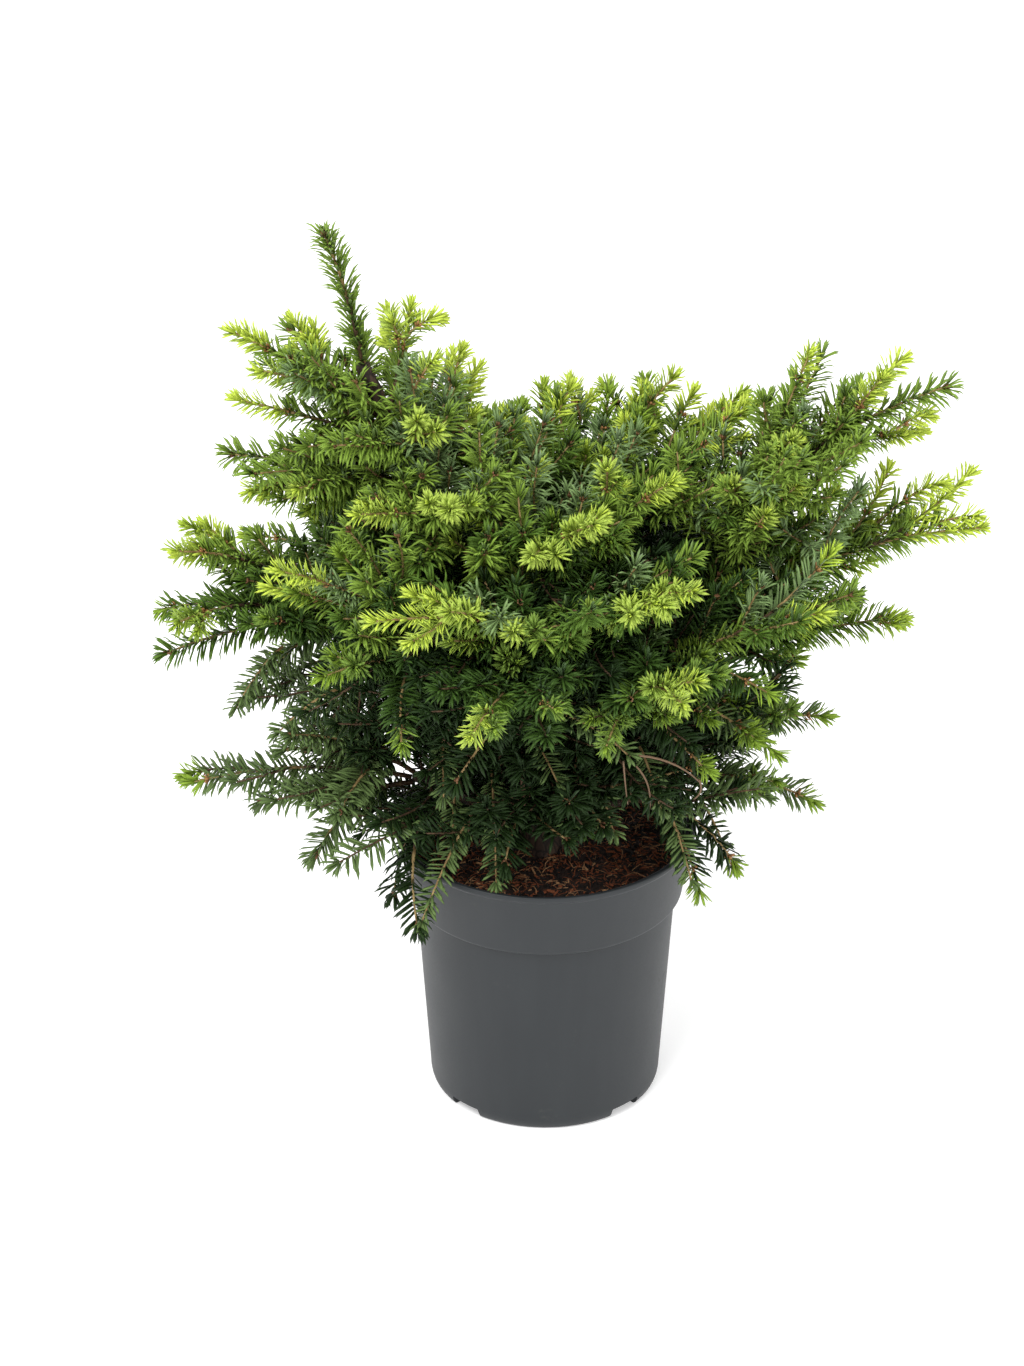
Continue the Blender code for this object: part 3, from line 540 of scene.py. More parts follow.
# Foliage: the bough, or the height on the trunk in centimetres, that carries the stem, how far it bows
# up as a share of its length, then each long shoot's tip as azimuth, reach, height and new growth.
foliage = {
    "foliage_leader": ("trunk", 0.08, [(186, 10.1, 45.0, 0)]),
    "foliage_left_top": (
        34.6, 0.06, [(180, 14.5, 39.4, 1.6), (173, 11.8, 39.3, 1.4), (189, 13.4, 38.4, 1.4)]),
    "foliage_left_upper": (33.6, 0.03, [(185, 14.4, 36.5, 2.2)]),
    "foliage_left_mid": (31.6, 0.04, [(178, 14.9, 32.8, 0), (189, 14.0, 32.2, 0.9), (200, 14.5, 34.5, 0)]),
    "foliage_top_left": (34.8, 0, [(171, 6.1, 40.4, 1.8)]),
    "foliage_top_mid_left": (31.3, 0, [(150, 4.3, 37.6, 1.2), (130, 4.6, 36.0, 1.0)]),
    "foliage_front_upright": (31.9, 0.05, [(217, 7.2, 37.2, 1.8), (206, 11.0, 36.0, 0)]),
    "foliage_front_top_left": (28.6, 0.12, [(242, 9.1, 34.4, 2.6), (219, 11.2, 33.6, 1.6)]),
    "foliage_back_top": (29.3, 0.10, [(142, 9.4, 36.4, 1.0), (118, 9.0, 34.4, 0.8)]),
    "foliage_right_top": ("bough_right_stem", 0.04, [(5, 12.1, 38.0, 1.2), (350, 11.4, 35.0, 0.8)]),
    "foliage_right_upper": (
        "bough_right_stem", 0.24, [(0, 18.4, 36.8, 0), (358, 15.4, 37.5, 1.5), (5, 17.5, 33.6, 1.2)]),
    "foliage_right_far": (
        "bough_right", 0.22, [(0, 20.4, 29.5, 3.2), (7, 19.9, 31.0, 3.0), (12, 16.4, 30.8, 1.6),
         (9, 15.5, 26.4, 0.8)]),
    "foliage_right_mid": ("bough_right", 0.08, [(0, 16.8, 24.7, 0.8), (354, 14.4, 26.7, 1.0)]),
    "foliage_right_low": (
        "bough_right_low", 0.24, [(0, 13.4, 19.6, 0.6), (10, 12.4, 22.4, 0.8), (340, 12.2, 22.2, 1.0)]),
    "foliage_right_bottom": ("bough_right_low", 0.15, [(354, 13.0, 15.6, 0.6), (338, 11.8, 18.4, 1.2)]),
    "foliage_top_right": (
        "bough_middle", 0.12, [(22, 10.8, 33.9, 1.4), (40, 11.0, 32.0, 1.2), (8, 9.4, 33.4, 1.0)]),
    "foliage_top_mid_right": (
        "bough_middle", 0.05, [(47, 6.8, 34.2, 1.4), (28, 6.9, 35.7, 1.2), (61, 6.1, 34.0, 1.2)]),
    "foliage_top_middle": (25.6, 0, [(73, 4.4, 34.7, 1.6), (126, 3.2, 34.2, 1.2)]),
    "foliage_front_top_right": (23.4, 0.05, [(322, 7.4, 34.2, 1.6), (300, 5.6, 35.0, 1.0)]),
    "foliage_front_mid_left": ("bough_front", 0.14, [(249, 12.6, 31.4, 2.8), (234, 13.8, 30.4, 2.6)]),
    "foliage_front_centre": (24.4, 0.10, [(286, 8.4, 33.8, 2.6), (266, 9.2, 32.6, 2.0)]),
    "foliage_front_low": (
        "bough_front", 0.20, [(256, 14.6, 26.2, 1.8), (272, 13.2, 27.0, 0.6), (247, 11.4, 21.4, 0)]),
    "foliage_front_far_left": ("bough_front_left", 0.15, [(211, 14.4, 31.2, 2.4), (198, 13.6, 28.6, 1.4)]),
    "foliage_front_left_low": ("bough_front_left", 0.12, [(221, 13.8, 26.4, 2.0), (240, 13.2, 24.0, 0.6)]),
    "foliage_front_right_low": (
        "bough_front_right", 0.20, [(297, 13.6, 26.8, 2.4), (282, 12.4, 24.4, 2.2), (312, 11.4, 21.0, 0.4)]),
    "foliage_front_right": (21.4, 0.12, [(304, 12.0, 31.4, 2.4), (289, 11.6, 30.6, 1.8)]),
    "foliage_right_front": (
        "bough_front_right", 0.15, [(334, 14.2, 28.4, 1.4), (322, 13.2, 25.0, 0.8), (343, 13.8, 30.4, 0.6),
         (331, 12.5, 20.6, 1.2)]),
    "foliage_left_high": ("bough_left", 0.04, [(178, 16.7, 29.3, 1.8), (188, 17.4, 29.4, 1.2)]),
    "foliage_left_far": (
        "bough_left", 0.18, [(184, 18.2, 25.8, 0.4), (189, 18.1, 24.2, 0), (195, 17.7, 26.7, 1.4),
         (184, 14.2, 20.7, 0)]),
    "foliage_left_low": (
        "bough_left_low", 0.14, [(200, 12.9, 21.0, 0), (184, 12.6, 18.2, 0), (216, 12.0, 18.0, 0)]),
    "foliage_left_bottom": ("bough_left_low", 0.08, [(181, 17.0, 16.0, 0.6), (175, 13.9, 14.0, 0)]),
    "foliage_left_hang": ("bough_left_low", 0.22, [(198, 11.7, 13.6, 0), (200, 12.3, 17.6, 0)]),
    "foliage_pot_left": ("bough_low_left", 0.24, [(206, 8.2, 11.4, 0), (230, 9.4, 11.6, 0)]),
    "foliage_front_hang": (15.2, 0.30, [(252, 6.6, 14.8, 0), (279, 7.1, 16.6, 0)]),
    "foliage_pot_right": ("bough_low_right", 0.22, [(346, 9.6, 12.4, 0.4), (324, 9.2, 12.6, 0.6)]),
    "foliage_front_low_right": (
        16.2, 0.22, [(294, 7.0, 17.0, 0), (324, 9.4, 20.0, 0.4), (276, 8.6, 19.6, 0)]),
    "foliage_back_centre": (
        "bough_back", 0.14, [(94, 15.2, 27.0, 1.0), (80, 14.6, 23.6, 0.8), (106, 13.8, 22.4, 0)]),
    "foliage_back_upper": (26.4, 0.12, [(76, 9.8, 31.4, 1.4), (104, 10.6, 30.2, 1.2), (54, 10.6, 30.4, 1.0)]),
    "foliage_back_left": (
        "bough_back_left", 0.14, [(138, 16.2, 28.0, 1.8), (122, 15.2, 25.8, 1.0), (154, 16.0, 25.4, 0.8)]),
    "foliage_back_left_low": (
        "bough_back_left", 0.16, [(152, 14.6, 19.0, 0.6), (128, 13.0, 17.4, 0), (110, 12.0, 18.0, 0)]),
    "foliage_back_right": (
        "bough_back_right", 0.14, [(42, 16.0, 27.4, 2.0), (62, 15.0, 25.4, 1.2), (26, 16.2, 25.8, 0.8)]),
    "foliage_back_right_low": (
        "bough_back_right", 0.16, [(28, 13.8, 18.8, 0.6), (56, 12.6, 17.0, 0), (76, 12.2, 18.6, 0)]),
}
stemForm = {
    "forkSpread": 0.0026,
    "lead": 0.15,  # share of its length that a stem owes to the direction of what carries it
    "sunk": 0.5,
    "armAngle": math.radians(38),
    "armRoots": [step / 100 for step in range(12, 80)],
    "armStraight": 0.35,
    "armLength": 0.062,
    "lastNeedles": 6.2 * mm,  # the wood ends this much short of a tip in the table
}


def trunkPoint(height):
    along = (height - trunk["foot"]) / (trunk["tip"] - trunk["foot"])
    lean = trunk["lean"] * max(along, 0.0) ** trunk["leanPower"]
    return Vector((lean, trunk["sway"] * math.sin(math.tau * along), height))


def trunkRadius(height):
    along = max(0.0, (height - trunk["foot"]) / (trunk["tip"] - trunk["foot"]))
    return trunk["footRadius"] + (trunk["tipRadius"] - trunk["footRadius"]) * along ** trunk["taperPower"]


def boughPath(name):
    height, azimuth, reach, endHeight, _ = boughs[name]
    start = trunkPoint(height * cm)
    end = polar(azimuth, reach, endHeight)
    span = end - start
    return start, start + span / 2 - skyward * boughForm["sag"] * span.length, end


def woodEnd(start, tip):
    return tip - (tip - start).normalized() * stemForm["lastNeedles"]


def arched(start, lead, end, share):
    span = end - start
    along = span.normalized()
    rise = (skyward - along * along.z).normalized()
    owed = stemForm["lead"]
    return start, start + span * (0.5 - owed) + (lead * owed + rise * share) * span.length, end


def stemPath(name):
    carrier, arch, tips = foliage[name]
    tip = polar(*tips[0][:3])
    if carrier == "trunk":
        foot = trunkPoint(trunk["tip"])
        lead = (foot - trunkPoint(trunk["tip"] - cm)).normalized()
        start = foot + lead * gap
    elif carrier in boughs:
        path = boughPath(carrier)
        lead = bezierDirection(path, 1.0)
        ends = [polar(*each[-1][0][:3]) for each in foliage.values() if each[0] == carrier]
        aside = tip - sum(ends, Vector()) / len(ends)
        aside -= lead * aside.dot(lead)
        start = path[2] + aside.normalized() * stemForm["forkSpread"]
    else:
        start = trunkPoint(carrier * cm)
        lead = (tip - start).normalized()
        start += lead * stemForm["sunk"] * trunkRadius(start.z)
    return arched(start, lead, woodEnd(start, tip), arch)


def armPath(stem, tip):
    # a long side shoot leaves the stem where the way to its tip is at about the arm's angle
    best = None
    for t in stemForm["armRoots"]:
        root = bezier(stem, t)
        miss = abs(bezierDirection(stem, t).angle(tip - root) - stemForm["armAngle"])
        if best is None or miss < best[0] and (tip - root).length > stemForm["armLength"]:
            best = (miss, t)
    root = bezier(stem, best[1])
    end = woodEnd(root, tip)
    ahead = bezierDirection(stem, best[1]) * (end - root).length
    return root, root + ahead * stemForm["armStraight"], end


bark = {
    "sides": 40,
    "trunkRings": 230,
    "boughSides": 20,
    "boughRings": 54,
    "trunkRelief": 0.9 * mm,
    "boughRelief": 0.45 * mm,
    "cells": (210, 95),  # to a metre, round the limb and along it
    "plate": 2.2,
    "grain": 900,
}


def barkRelief(place, along):
    # flaking plates: cells stretched along the limb, with fine roughness on them
    across, lengthways = bark["cells"]
    spot = Vector((place.x * across, place.y * across, along * lengthways))
    near, far = noise.voronoi(spot)[0][:2]
    plate = min(1.0, (far - near) * bark["plate"])
    grain = noise.noise(Vector((place.x, place.y, along)) * bark["grain"])
    return 0.75 * plate + 0.25 * grain - 0.4


def limbMesh(rings, sides, pointAt, radiusAt, relief, span):
    # a closed limb: a cylinder, cut into rings, laid along its curve, its surface broken up as bark
    bm = bmesh.new()
    bmesh.ops.create_cone(bm, cap_ends=True, segments=sides, radius1=1, radius2=1, depth=rings)
    edges = [edge for edge in bm.edges if abs(edge.verts[0].co.z - edge.verts[1].co.z) > 0.5]
    bmesh.ops.subdivide_edges(bm, edges=edges, cuts=rings - 1)
    for vert in bm.verts:
        t = vert.co.z / rings + 0.5
        middle, along = pointAt(t)
        across = along.cross(Vector((0, 1, 0))).normalized()
        over = along.cross(across)
        angle = math.atan2(vert.co.y, vert.co.x)
        out = across * math.cos(angle) + over * math.sin(angle)
        radius = radiusAt(t, out)
        flat = Vector((math.cos(angle), math.sin(angle), 0)) * radius
        vert.co = middle + out * (radius + relief * barkRelief(flat, t * span))
    return bm


def makeTrunk():
    span = trunk["tip"] - trunk["foot"]

    def pointAt(t):
        height = trunk["foot"] + span * t
        return trunkPoint(height), (trunkPoint(height + mm) - trunkPoint(height - mm)).normalized()

    def radiusAt(t, out):
        rise = max(0.0, 1 - t * span / trunk["flareHeight"])
        turn = math.atan2(out.y, out.x)
        lobe = 1 - trunk["rootLobe"] + trunk["rootLobe"] * math.cos(trunk["roots"] * turn + trunk["rootTurn"])
        return trunkRadius(trunk["foot"] + span * t) + trunk["flare"] * rise ** 2 * lobe

    bm = limbMesh(bark["trunkRings"], bark["sides"], pointAt, radiusAt, bark["trunkRelief"], span)
    for vert in bm.verts:
        if vert.co.z < trunk["foot"] + 0.6 * mm:
            vert.co.z = trunk["foot"]
    addPiece("trunk_bark", meshFrom(bm, "trunk_bark", 80), barkMaterial("bark_trunk", 1.0), ["trunk"])


def barkMaterial(name, scale):
    material, shader, link = newMaterial(name, (0.11, 0.06, 0.035), 0.85)
    place = placed(link, (1, 1, 0.45))
    cells = link.node("TexVoronoi", {"feature": "DISTANCE_TO_EDGE"}, {"Vector": place, "Scale": 260 * scale})
    crack = cells.clamped(0.0, 0.16)
    patch = noiseOn(link, place, 90 * scale, 5, 0.6).clamped(0.35, 0.68)
    grain = noiseOn(link, place, 900 * scale, 3)
    plates = blend(link, patch, (0.030, 0.016, 0.010), (0.085, 0.048, 0.028))
    # the cracks between the plates are near black: partly the bark's own darker colour, partly painted shade
    # in the recesses
    colour = blend(link, crack, (0.010, 0.006, 0.004), plates)
    feed(colour, shader, "Base Color")
    feed(grain * 0.2 + 0.72, shader, "Roughness")
    bumped(link, shader, crack * 0.7 + grain * 0.3, 0.6, 0.35 * mm)
    return material


def makeBoughs():
    joined = bmesh.new()
    for name, spec in boughs.items():
        path = boughPath(name)
        foot, end = boughForm["footRadius"], spec[4] * cm * boughForm["taper"]
        span = pathLength(path)

        def pointAt(t):
            return bezier(path, t), bezierDirection(path, t)

        def radiusAt(t, out):
            return foot + (end - foot) * t

        bm = limbMesh(bark["boughRings"], bark["boughSides"], pointAt, radiusAt, bark["boughRelief"], span)
        mesh = meshFrom(bm, name)
        joined.from_mesh(mesh)
        bpy.data.meshes.remove(mesh)
    mesh = meshFrom(joined, "bough_bark", 80)
    addPiece("bough_bark", mesh, barkMaterial("bark_boughs", 1.4), list(boughs))
    print("trunk and", len(boughs), "boughs done")


makeTrunk()
makeBoughs()


# Growth: long shoots as in the solids, then finer and finer side shoots on them

growth = {
    "heart": Vector((0.0, 0.0, 0.21)),
    "short": 3 * mm,  # a side shoot ends this much nearer the heart than its long shoot
    "angle": math.radians(43),
    "angleVary": (-0.12, 0.18),
    "forward": 0.28,
    "bareFoot": 6 * mm,
    "firstNode": ((40 * mm, 62 * mm), (20 * mm, 30 * mm)),  # behind the tip, by order
    "nodeStep": ((13 * mm, 19 * mm), (15 * mm, 22 * mm)),
    "nodeVary": 3,  # millimetres
    "share": (0.72, 0.64),  # of the way back to the tip
    "shareVary": (0.7, 1.1),
    "upright": 0.75,  # length of a shoot above or below against a level one
    "longest": (74 * mm, 32 * mm),
    "shortest": (12 * mm, 15 * mm),
    "levelRoll": (-0.35, 0.45),
    "topChance": (0.55, 0.22),
    "topRoll": (0.9, 2.2),
    "underChance": 0.5,
    "underRoll": (0.7, 2.4),
    "underFrom": 55 * mm,
    "spare": 0.52,  # share of the finest side shoots that stay away
    "level": 0.30,  # above this no side shoot overtops its parent
    "freshChance": 0.24,
    "highFresh": 0.32,
    "highFrom": 0.305,
    "leastFresh": 13 * mm,
    "freshVary": (0.5, 0.9),
    "mostFresh": 0.55,  # of a side shoot's length
}
daylight = {  # how light a shoot is, by its way from the heart and its height
    "frontShade": 0.66,
    "inside": 0.07,
    "depth": 0.09,
    "foot": 0.17,
    "rise": 0.15,
    "mostHeight": 1.3,
    "shares": (0.34, 0.40, 0.28),  # away, height and both together
    "vary": 0.13,
}
tuft = {"counts": (0, 1, 1, 2), "roll": 0.6, "length": (0.6, 0.95), "angle": (0.65, 0.95),
        "from": 12 * mm, "chance": 0.5, "atTip": 0.7}  # atTip: new growth at a long tip, in centimetres
combForm = {"needles": 0.74, "bow": 0.16}
# single shoots between the long ones: azimuth, reach and height of the foot and of the tip, new growth
extraShoots = [
    ((230, 3.9, 18.2), (249, 6.4, 13.9), 0),
    ((233, 5.0, 17.2), (230, 8.9, 12.3), 0),
    ((295, 3.3, 18.9), (283, 4.9, 16.0), 0),
    ((302, 3.5, 18.9), (303, 5.7, 15.9), 0),
    ((255, 4.1, 21.1), (275, 6.0, 19.2), 0),
    ((330, 6.1, 17.1), (322, 8.5, 13.6), 0),
    ((352, 7.2, 15.6), (350, 8.8, 12.2), 0),
    ((212, 5.6, 20.0), (227, 6.9, 17.9), 0),
    ((274, 6.0, 22.9), (292, 9.7, 22.4), 0),
    ((310, 6.6, 20.6), (309, 8.3, 18.1), 0),
    ((220, 5.5, 17.4), (229, 6.6, 15.1), 0),
    ((180, 6.4, 38.8), (168, 5.2, 39.3), 0.9),
    ((189, 6.7, 39.0), (191, 7.0, 40.2), 0.9),
    ((207, 6.6, 37.8), (214, 6.2, 39.3), 1.0),
    ((0, 15.0, 36.5), (2, 15.9, 37.4), 1.0),
    ((0, 15.8, 34.2), (2, 17.1, 34.7), 1.0),
    ((189, 12.2, 24.1), (192, 14.5, 21.5), 0),
    ((197, 10.0, 22.4), (198, 12.9, 20.7), 0),
    ((4, 15.2, 28.9), (3, 17.9, 31.0), 1.8),
    ((91, 6.0, 31.5), (91, 6.6, 32.9), 0.9),
    ((77, 7.2, 31.1), (81, 7.6, 32.7), 0.9),
    ((63, 7.8, 31.1), (69, 8.0, 32.6), 0.9),
    ((54, 8.6, 31.3), (58, 8.8, 32.8), 0.9),
    ((37, 9.9, 31.4), (36, 11.0, 32.7), 1.0),
    ((2, 16.8, 28.5), (1, 19.4, 29.6), 1.6),
    ((180, 13.0, 16.3), (178, 16.7, 15.9), 0.8),
]
combs = {  # hanging shoots that hardly branch, with the share of side shoots that they keep
    "foliage_front_hang": 0.0,
    "foliage_pot_left": 0.5,
    "foliage_pot_right": 0.35,
    "foliage_front_low_right": 0.25,
    "foliage_left_hang": 0.6,
    "foliage_left_bottom": 0.8,
    "foliage_leader": 0.0,
}
# the front of the soil shows under this plane
openSoil = {"level": 0.122, "slope": -0.62, "right": 0.4, "reach": 0.085, "back": 0.03, "at": (0.6, 1.0)}
potRoom = {"inside": 9 * mm, "outside": 3 * mm, "above": 3 * mm, "soil": 4 * mm}
alongShoot = (0.25, 0.5, 0.75, 1.0)  # where a shoot is tested


def clearOfPot(path):
    # True if no part of a shoot runs through the pot's wall or the soil
    for t in alongShoot:
        point = bezier(path, t)
        radius = math.hypot(point.x, point.y)
        atRim = pot["rim"] - potRoom["inside"] < radius < pot["rim"] + potRoom["outside"]
        if atRim and point.z < pot["height"] + potRoom["above"]:
            return False
        if radius < pot["rim"] and point.z < soil["top"] + potRoom["soil"]:
            return False
    return True


# Where the crown is open to the sky, seen by the camera: right of and above its aim, and radius, in cm
openings = [
    (0.9, 15.6, 1.3), (3.4, 14.1, 0.8), (3.4, 12.9, 0.8), (-14.2, 9.1, 0.9), (-10.8, 7.2, 1.0),
    (-12.8, 8.2, 0.8), (-14.2, 12.1, 0.7), (-11.6, -2.3, 1.4), (14.4, 1.2, 1.5), (13.5, -3.2, 0.8),
    (12.9, -5.0, 1.2), (15.9, -2.0, 1.4), (17.9, 5.6, 0.9), (19.8, 5.6, 0.8), (15.6, 5.1, 1.0),
    (-3.2, 15.1, 1.0), (-4.6, 15.4, 0.6), (7.0, 14.8, 1.2), (5.9, 15.9, 1.2), (10.6, 15.6, 1.4),
    (10.9, 11.6, 0.7), (12.1, 14.0, 0.7), (10.1, 1.1, 0.7), (11.3, 0.5, 0.7), (-10.9, 11.7, 0.8),
    (-9.7, 13.2, 0.5), (-11.8, 12.8, 0.6), (-10.9, 16.3, 0.6), (-12.6, 16.5, 0.5), (16.1, 12.5, 0.6),
    (-11.8, 1.7, 0.8), (-15.4, 6.8, 0.6), (15.6, 16.2, 0.8), (19.4, 10.0, 0.7), (14.0, 7.0, 0.5),
    (1.2, 14.1, 1.0), (-0.4, 13.1, 0.8), (9.2, 14.0, 0.8), (9.5, 13.1, 0.7), (15.8, 14.9, 0.9),
    (17.2, 12.6, 0.7), (16.7, 8.5, 0.5), (19.3, 8.1, 0.8), (11.0, -3.6, 0.7), (-10.3, -2.6, 0.9),
    (-11.8, -5.5, 0.8), (8.7, -9.7, 0.6), (-9.9, 7.2, 0.7), (-8.4, 15.9, 0.6), (-11.0, 13.5, 0.6),
    (11.0, -6.3, 0.6), (12.4, -6.6, 0.8), (11.7, 16.1, 0.8), (10.7, 16.0, 1.0), (-3.5, 16.8, 0.7),
    (-2.4, 17.0, 0.7), (-7.1, 17.2, 0.6), (14.2, -1.0, 0.8), (-8.2, -4.2, 0.5), (-7.4, -7.0, 0.5),
    (-1.4, 15.9, 0.9), (-0.8, 14.0, 0.7), (3.5, 12.5, 0.6), (-7.7, -9.4, 0.6), (-7.0, -10.3, 0.5),
    (-8.4, -8.7, 0.5), (9.6, 1.6, 0.6), (10.4, 1.0, 0.5), (19.3, 12.5, 0.5), (17.8, 12.8, 0.4),
    (-11.4, 7.3, 0.6), (-12.5, 7.6, 0.5), (11.2, -6.9, 0.5), (12.3, -7.7, 0.6), (-10.6, -0.9, 0.5),
    (-14.3, 4.3, 0.4),
]


def inOpening(path):
    # True if a shoot is seen in front of one of the openings
    tilt = math.radians(camera["elevation"])
    up, back = Vector((0, math.sin(tilt), math.cos(tilt))), Vector((0, -math.cos(tilt), math.sin(tilt)))
    for t in alongShoot:
        place = bezier(path, t) - Vector(camera["target"])
        scale = cm * (1 - place.dot(back) / camera["distance"])
        right, above = place.x / scale, place.dot(up) / scale
        for x, y, radius in openings:
            if math.hypot(right - x, above - y) < radius:
                return True
    return False


def hidesSoil(path):
    for t in openSoil["at"]:
        point = bezier(path, t)
        inFront = point.y < openSoil["back"] and math.hypot(point.x, point.y) < openSoil["reach"]
        level = openSoil["level"] + openSoil["slope"] * point.y + openSoil["right"] * max(0.0, point.x)
        if inFront and point.z < level:
            return True
    return False


def sideways(along, roll):
    # square to a shoot; roll 0 and 180 degrees lie level, 90 is on top
    level = skyward.cross(along)
    level = level.normalized() if level.length > 0.3 else Vector((1, 0, 0))
    return Matrix.Rotation(roll, 3, along) @ level


def sidePath(path, t, roll, angle, length):
    root = bezier(path, t)
    along = bezierDirection(path, t)
    heading = along * math.cos(angle) + sideways(along, roll) * math.sin(angle)
    tip = root + (heading + along * growth["forward"]).normalized() * length
    return root, root + heading * length * 0.5, tip


def lightOn(point, rng):
    # how much of the sky a shoot sees, from the heart of the crown to its top
    out = point - growth["heart"]
    if out.y < 0:
        out.y *= daylight["frontShade"]
    away = min(1.0, max(0.0, (out.length - daylight["inside"]) / daylight["depth"]))
    height = min(daylight["mostHeight"], max(0.0, (point.z - daylight["foot"]) / daylight["rise"]))
    first, second, both = daylight["shares"]
    return first * away + second * height + both * away * height + rng.gauss(0, daylight["vary"])


def newShoot(path, order, fresh, rng, dim=0.0):
    light = lightOn(path[2], rng) - dim
    return {"path": path, "order": order, "fresh": fresh, "light": light, "round": False, "comb": False}


def addTufts(shoots, parent, rng):
    # new growth from the buds beside the tip's: one or two tufts from the same knot
    path, fresh = parent["path"], parent["fresh"]
    t = 1 - fresh / pathLength(path)
    start = rng.choice((0.0, math.pi))
    for index in range(rng.choice(tuft["counts"])):
        roll = start + index * math.pi + rng.uniform(-tuft["roll"], tuft["roll"])
        length = fresh * rng.uniform(*tuft["length"])
        side = sidePath(path, t, roll, rng.uniform(*tuft["angle"]), length)
        if not inOpening(side):
            shoots.append(newShoot(side, 2, length, rng))


def growSides(shoots, parent, limit, rng, keep=1.0):
    order, path = parent["order"], parent["path"]
    length = pathLength(path)
    back = rng.uniform(*growth["firstNode"][order])
    while back < length - growth["bareFoot"]:
        inner = back > growth["underFrom"]
        rolls = [rng.uniform(*growth["levelRoll"]), math.pi - rng.uniform(*growth["levelRoll"])]
        if rng.random() < growth["topChance"][order]:
            rolls.append(rng.uniform(*growth["topRoll"]))
        if order == 0 and inner and rng.random() < growth["underChance"]:
            rolls.append(-rng.uniform(*growth["underRoll"]))
        for index, roll in enumerate(rolls):
            most = min(growth["longest"][order], back * growth["share"][order])
            reach = most * rng.uniform(*growth["shareVary"])
            if index > 1:
                reach *= growth["upright"]
            t = 1 - (back + rng.uniform(-growth["nodeVary"], growth["nodeVary"]) * mm) / length
            angle = growth["angle"] + rng.uniform(*growth["angleVary"])
            if reach < growth["shortest"][order] or rng.random() > keep:
                continue
            if order and rng.random() < growth["spare"]:
                continue
            child = sidePath(path, t, roll, angle, reach)
            if (child[2] - growth["heart"]).length > limit or not clearOfPot(child):
                continue
            overtops = child[2].z > max(growth["level"], path[2].z)
            if overtops or hidesSoil(child) or inOpening(child):
                continue
            fresh = 0.0
            high = child[2].z > growth["highFrom"]
            if (parent["fresh"] or high) and rng.random() < growth["highFresh" if high else "freshChance"]:
                wanted = rng.uniform(*growth["freshVary"]) * max(parent["fresh"], growth["leastFresh"])
                fresh = min(reach * growth["mostFresh"], wanted)
            shoot = newShoot(child, order + 1, fresh, rng)
            shoots.append(shoot)
            if fresh > tuft["from"] and rng.random() < tuft["chance"]:
                addTufts(shoots, shoot, rng)
            if order == 0:
                growSides(shoots, shoot, limit, rng)
        back += rng.uniform(*growth["nodeStep"][order])


filler = {
    "step": 9 * mm,
    "foot": 30 * mm,  # the first one's height on the trunk
    "toStep": (2, 4),  # on the trunk, low and high
    "onBough": (2, 0.2, 0.8),  # to a step, past this share of the curve, over this share
    "onStem": (0.5, 0.1, 0.45),
    "lengths": (40 * mm, 75 * mm),
    "turn": math.radians(137.5),
    "reach": 0.14,
    "ahead": 0.55,
    "aside": 0.8,
    "rise": (-0.1, 0.35),
    "bend": 0.45,
    "high": 0.31,
    "top": 0.39,
    "shorter": 0.55,
    "dim": 0.25,
}


def alongLimb(path, perStep, low, share):
    count = int(pathLength(path) * perStep / filler["step"])
    ts = [low + share * i / count for i in range(1, count + 1)]
    return [(bezier(path, t), bezierDirection(path, t)) for t in ts]


def growFillers(shoots):
    # shoots from the trunk, the boughs and the stems fill the crown's inside; low ones count as less lit and
    # take a darker tone, painted shade
    rng = random.Random("fillers")
    turn = 0.0
    limbs = []
    height = trunk["foot"] + filler["foot"]
    while height < trunk["tip"]:
        along = (trunkPoint(height + mm) - trunkPoint(height - mm)).normalized()
        limbs.append((trunkPoint(height), along))
        height += filler["step"] / filler["toStep"][height > filler["high"]]
    for name in boughs:
        limbs += alongLimb(boughPath(name), *filler["onBough"])
    for name in foliage:
        limbs += alongLimb(stemPath(name), *filler["onStem"])
    for root, along in limbs:
        turn += filler["turn"]
        length = rng.uniform(*filler["lengths"])
        if root.z > filler["high"]:
            length *= filler["shorter"]
        out = sideways(along, turn)
        heading = along * filler["ahead"] + out * filler["aside"] + skyward * rng.uniform(*filler["rise"])
        tip = root + heading.normalized() * length
        path = (root, root + out * length * filler["bend"], tip)
        near = (tip - growth["heart"]).length < filler["reach"] or filler["high"] < tip.z < filler["top"]
        if near and clearOfPot(path) and not hidesSoil(path) and not inOpening(path):
            # painted shade: a low filler counts as less lit, so its needles and twig are darker
            dim = filler["dim"] if tip.z < filler["high"] else 0.0
            shoot = newShoot(path, 1, 0.0, rng, dim)
            shoots.append(shoot)
            growSides(shoots, shoot, filler["reach"] + 10 * mm, rng)


def growCrown():
    shoots = []
    for name, (_, _, tips) in foliage.items():
        rng = random.Random(name)
        stem = stemPath(name)
        for index, tip in enumerate(tips):
            path = armPath(stem, polar(*tip[:3])) if index else stem
            shoot = newShoot(path, 0, tip[3] * cm, rng)
            shoot["round"] = name == "foliage_leader"
            shoots.append(shoot)
            if tip[3] > tuft["atTip"]:
                addTufts(shoots, shoot, rng)
            limit = (path[2] - growth["heart"]).length - growth["short"]
            growSides(shoots, shoot, limit, rng, combs.get(name, 1.0))
    growFillers(shoots)
    rng = random.Random("combs")
    for foot, tip, fresh in extraShoots:
        start, end = polar(*foot), polar(*tip)
        middle = (start + end) / 2 + skyward * combForm["bow"] * (end - start).length
        shoot = newShoot((start, middle, end), 1, min(fresh * cm, 0.9 * (end - start).length), rng)
        shoot["comb"] = not fresh
        shoots.append(shoot)
    return shoots


# Needles: flattened three-sided rods, dealt out to plain tones by shoot

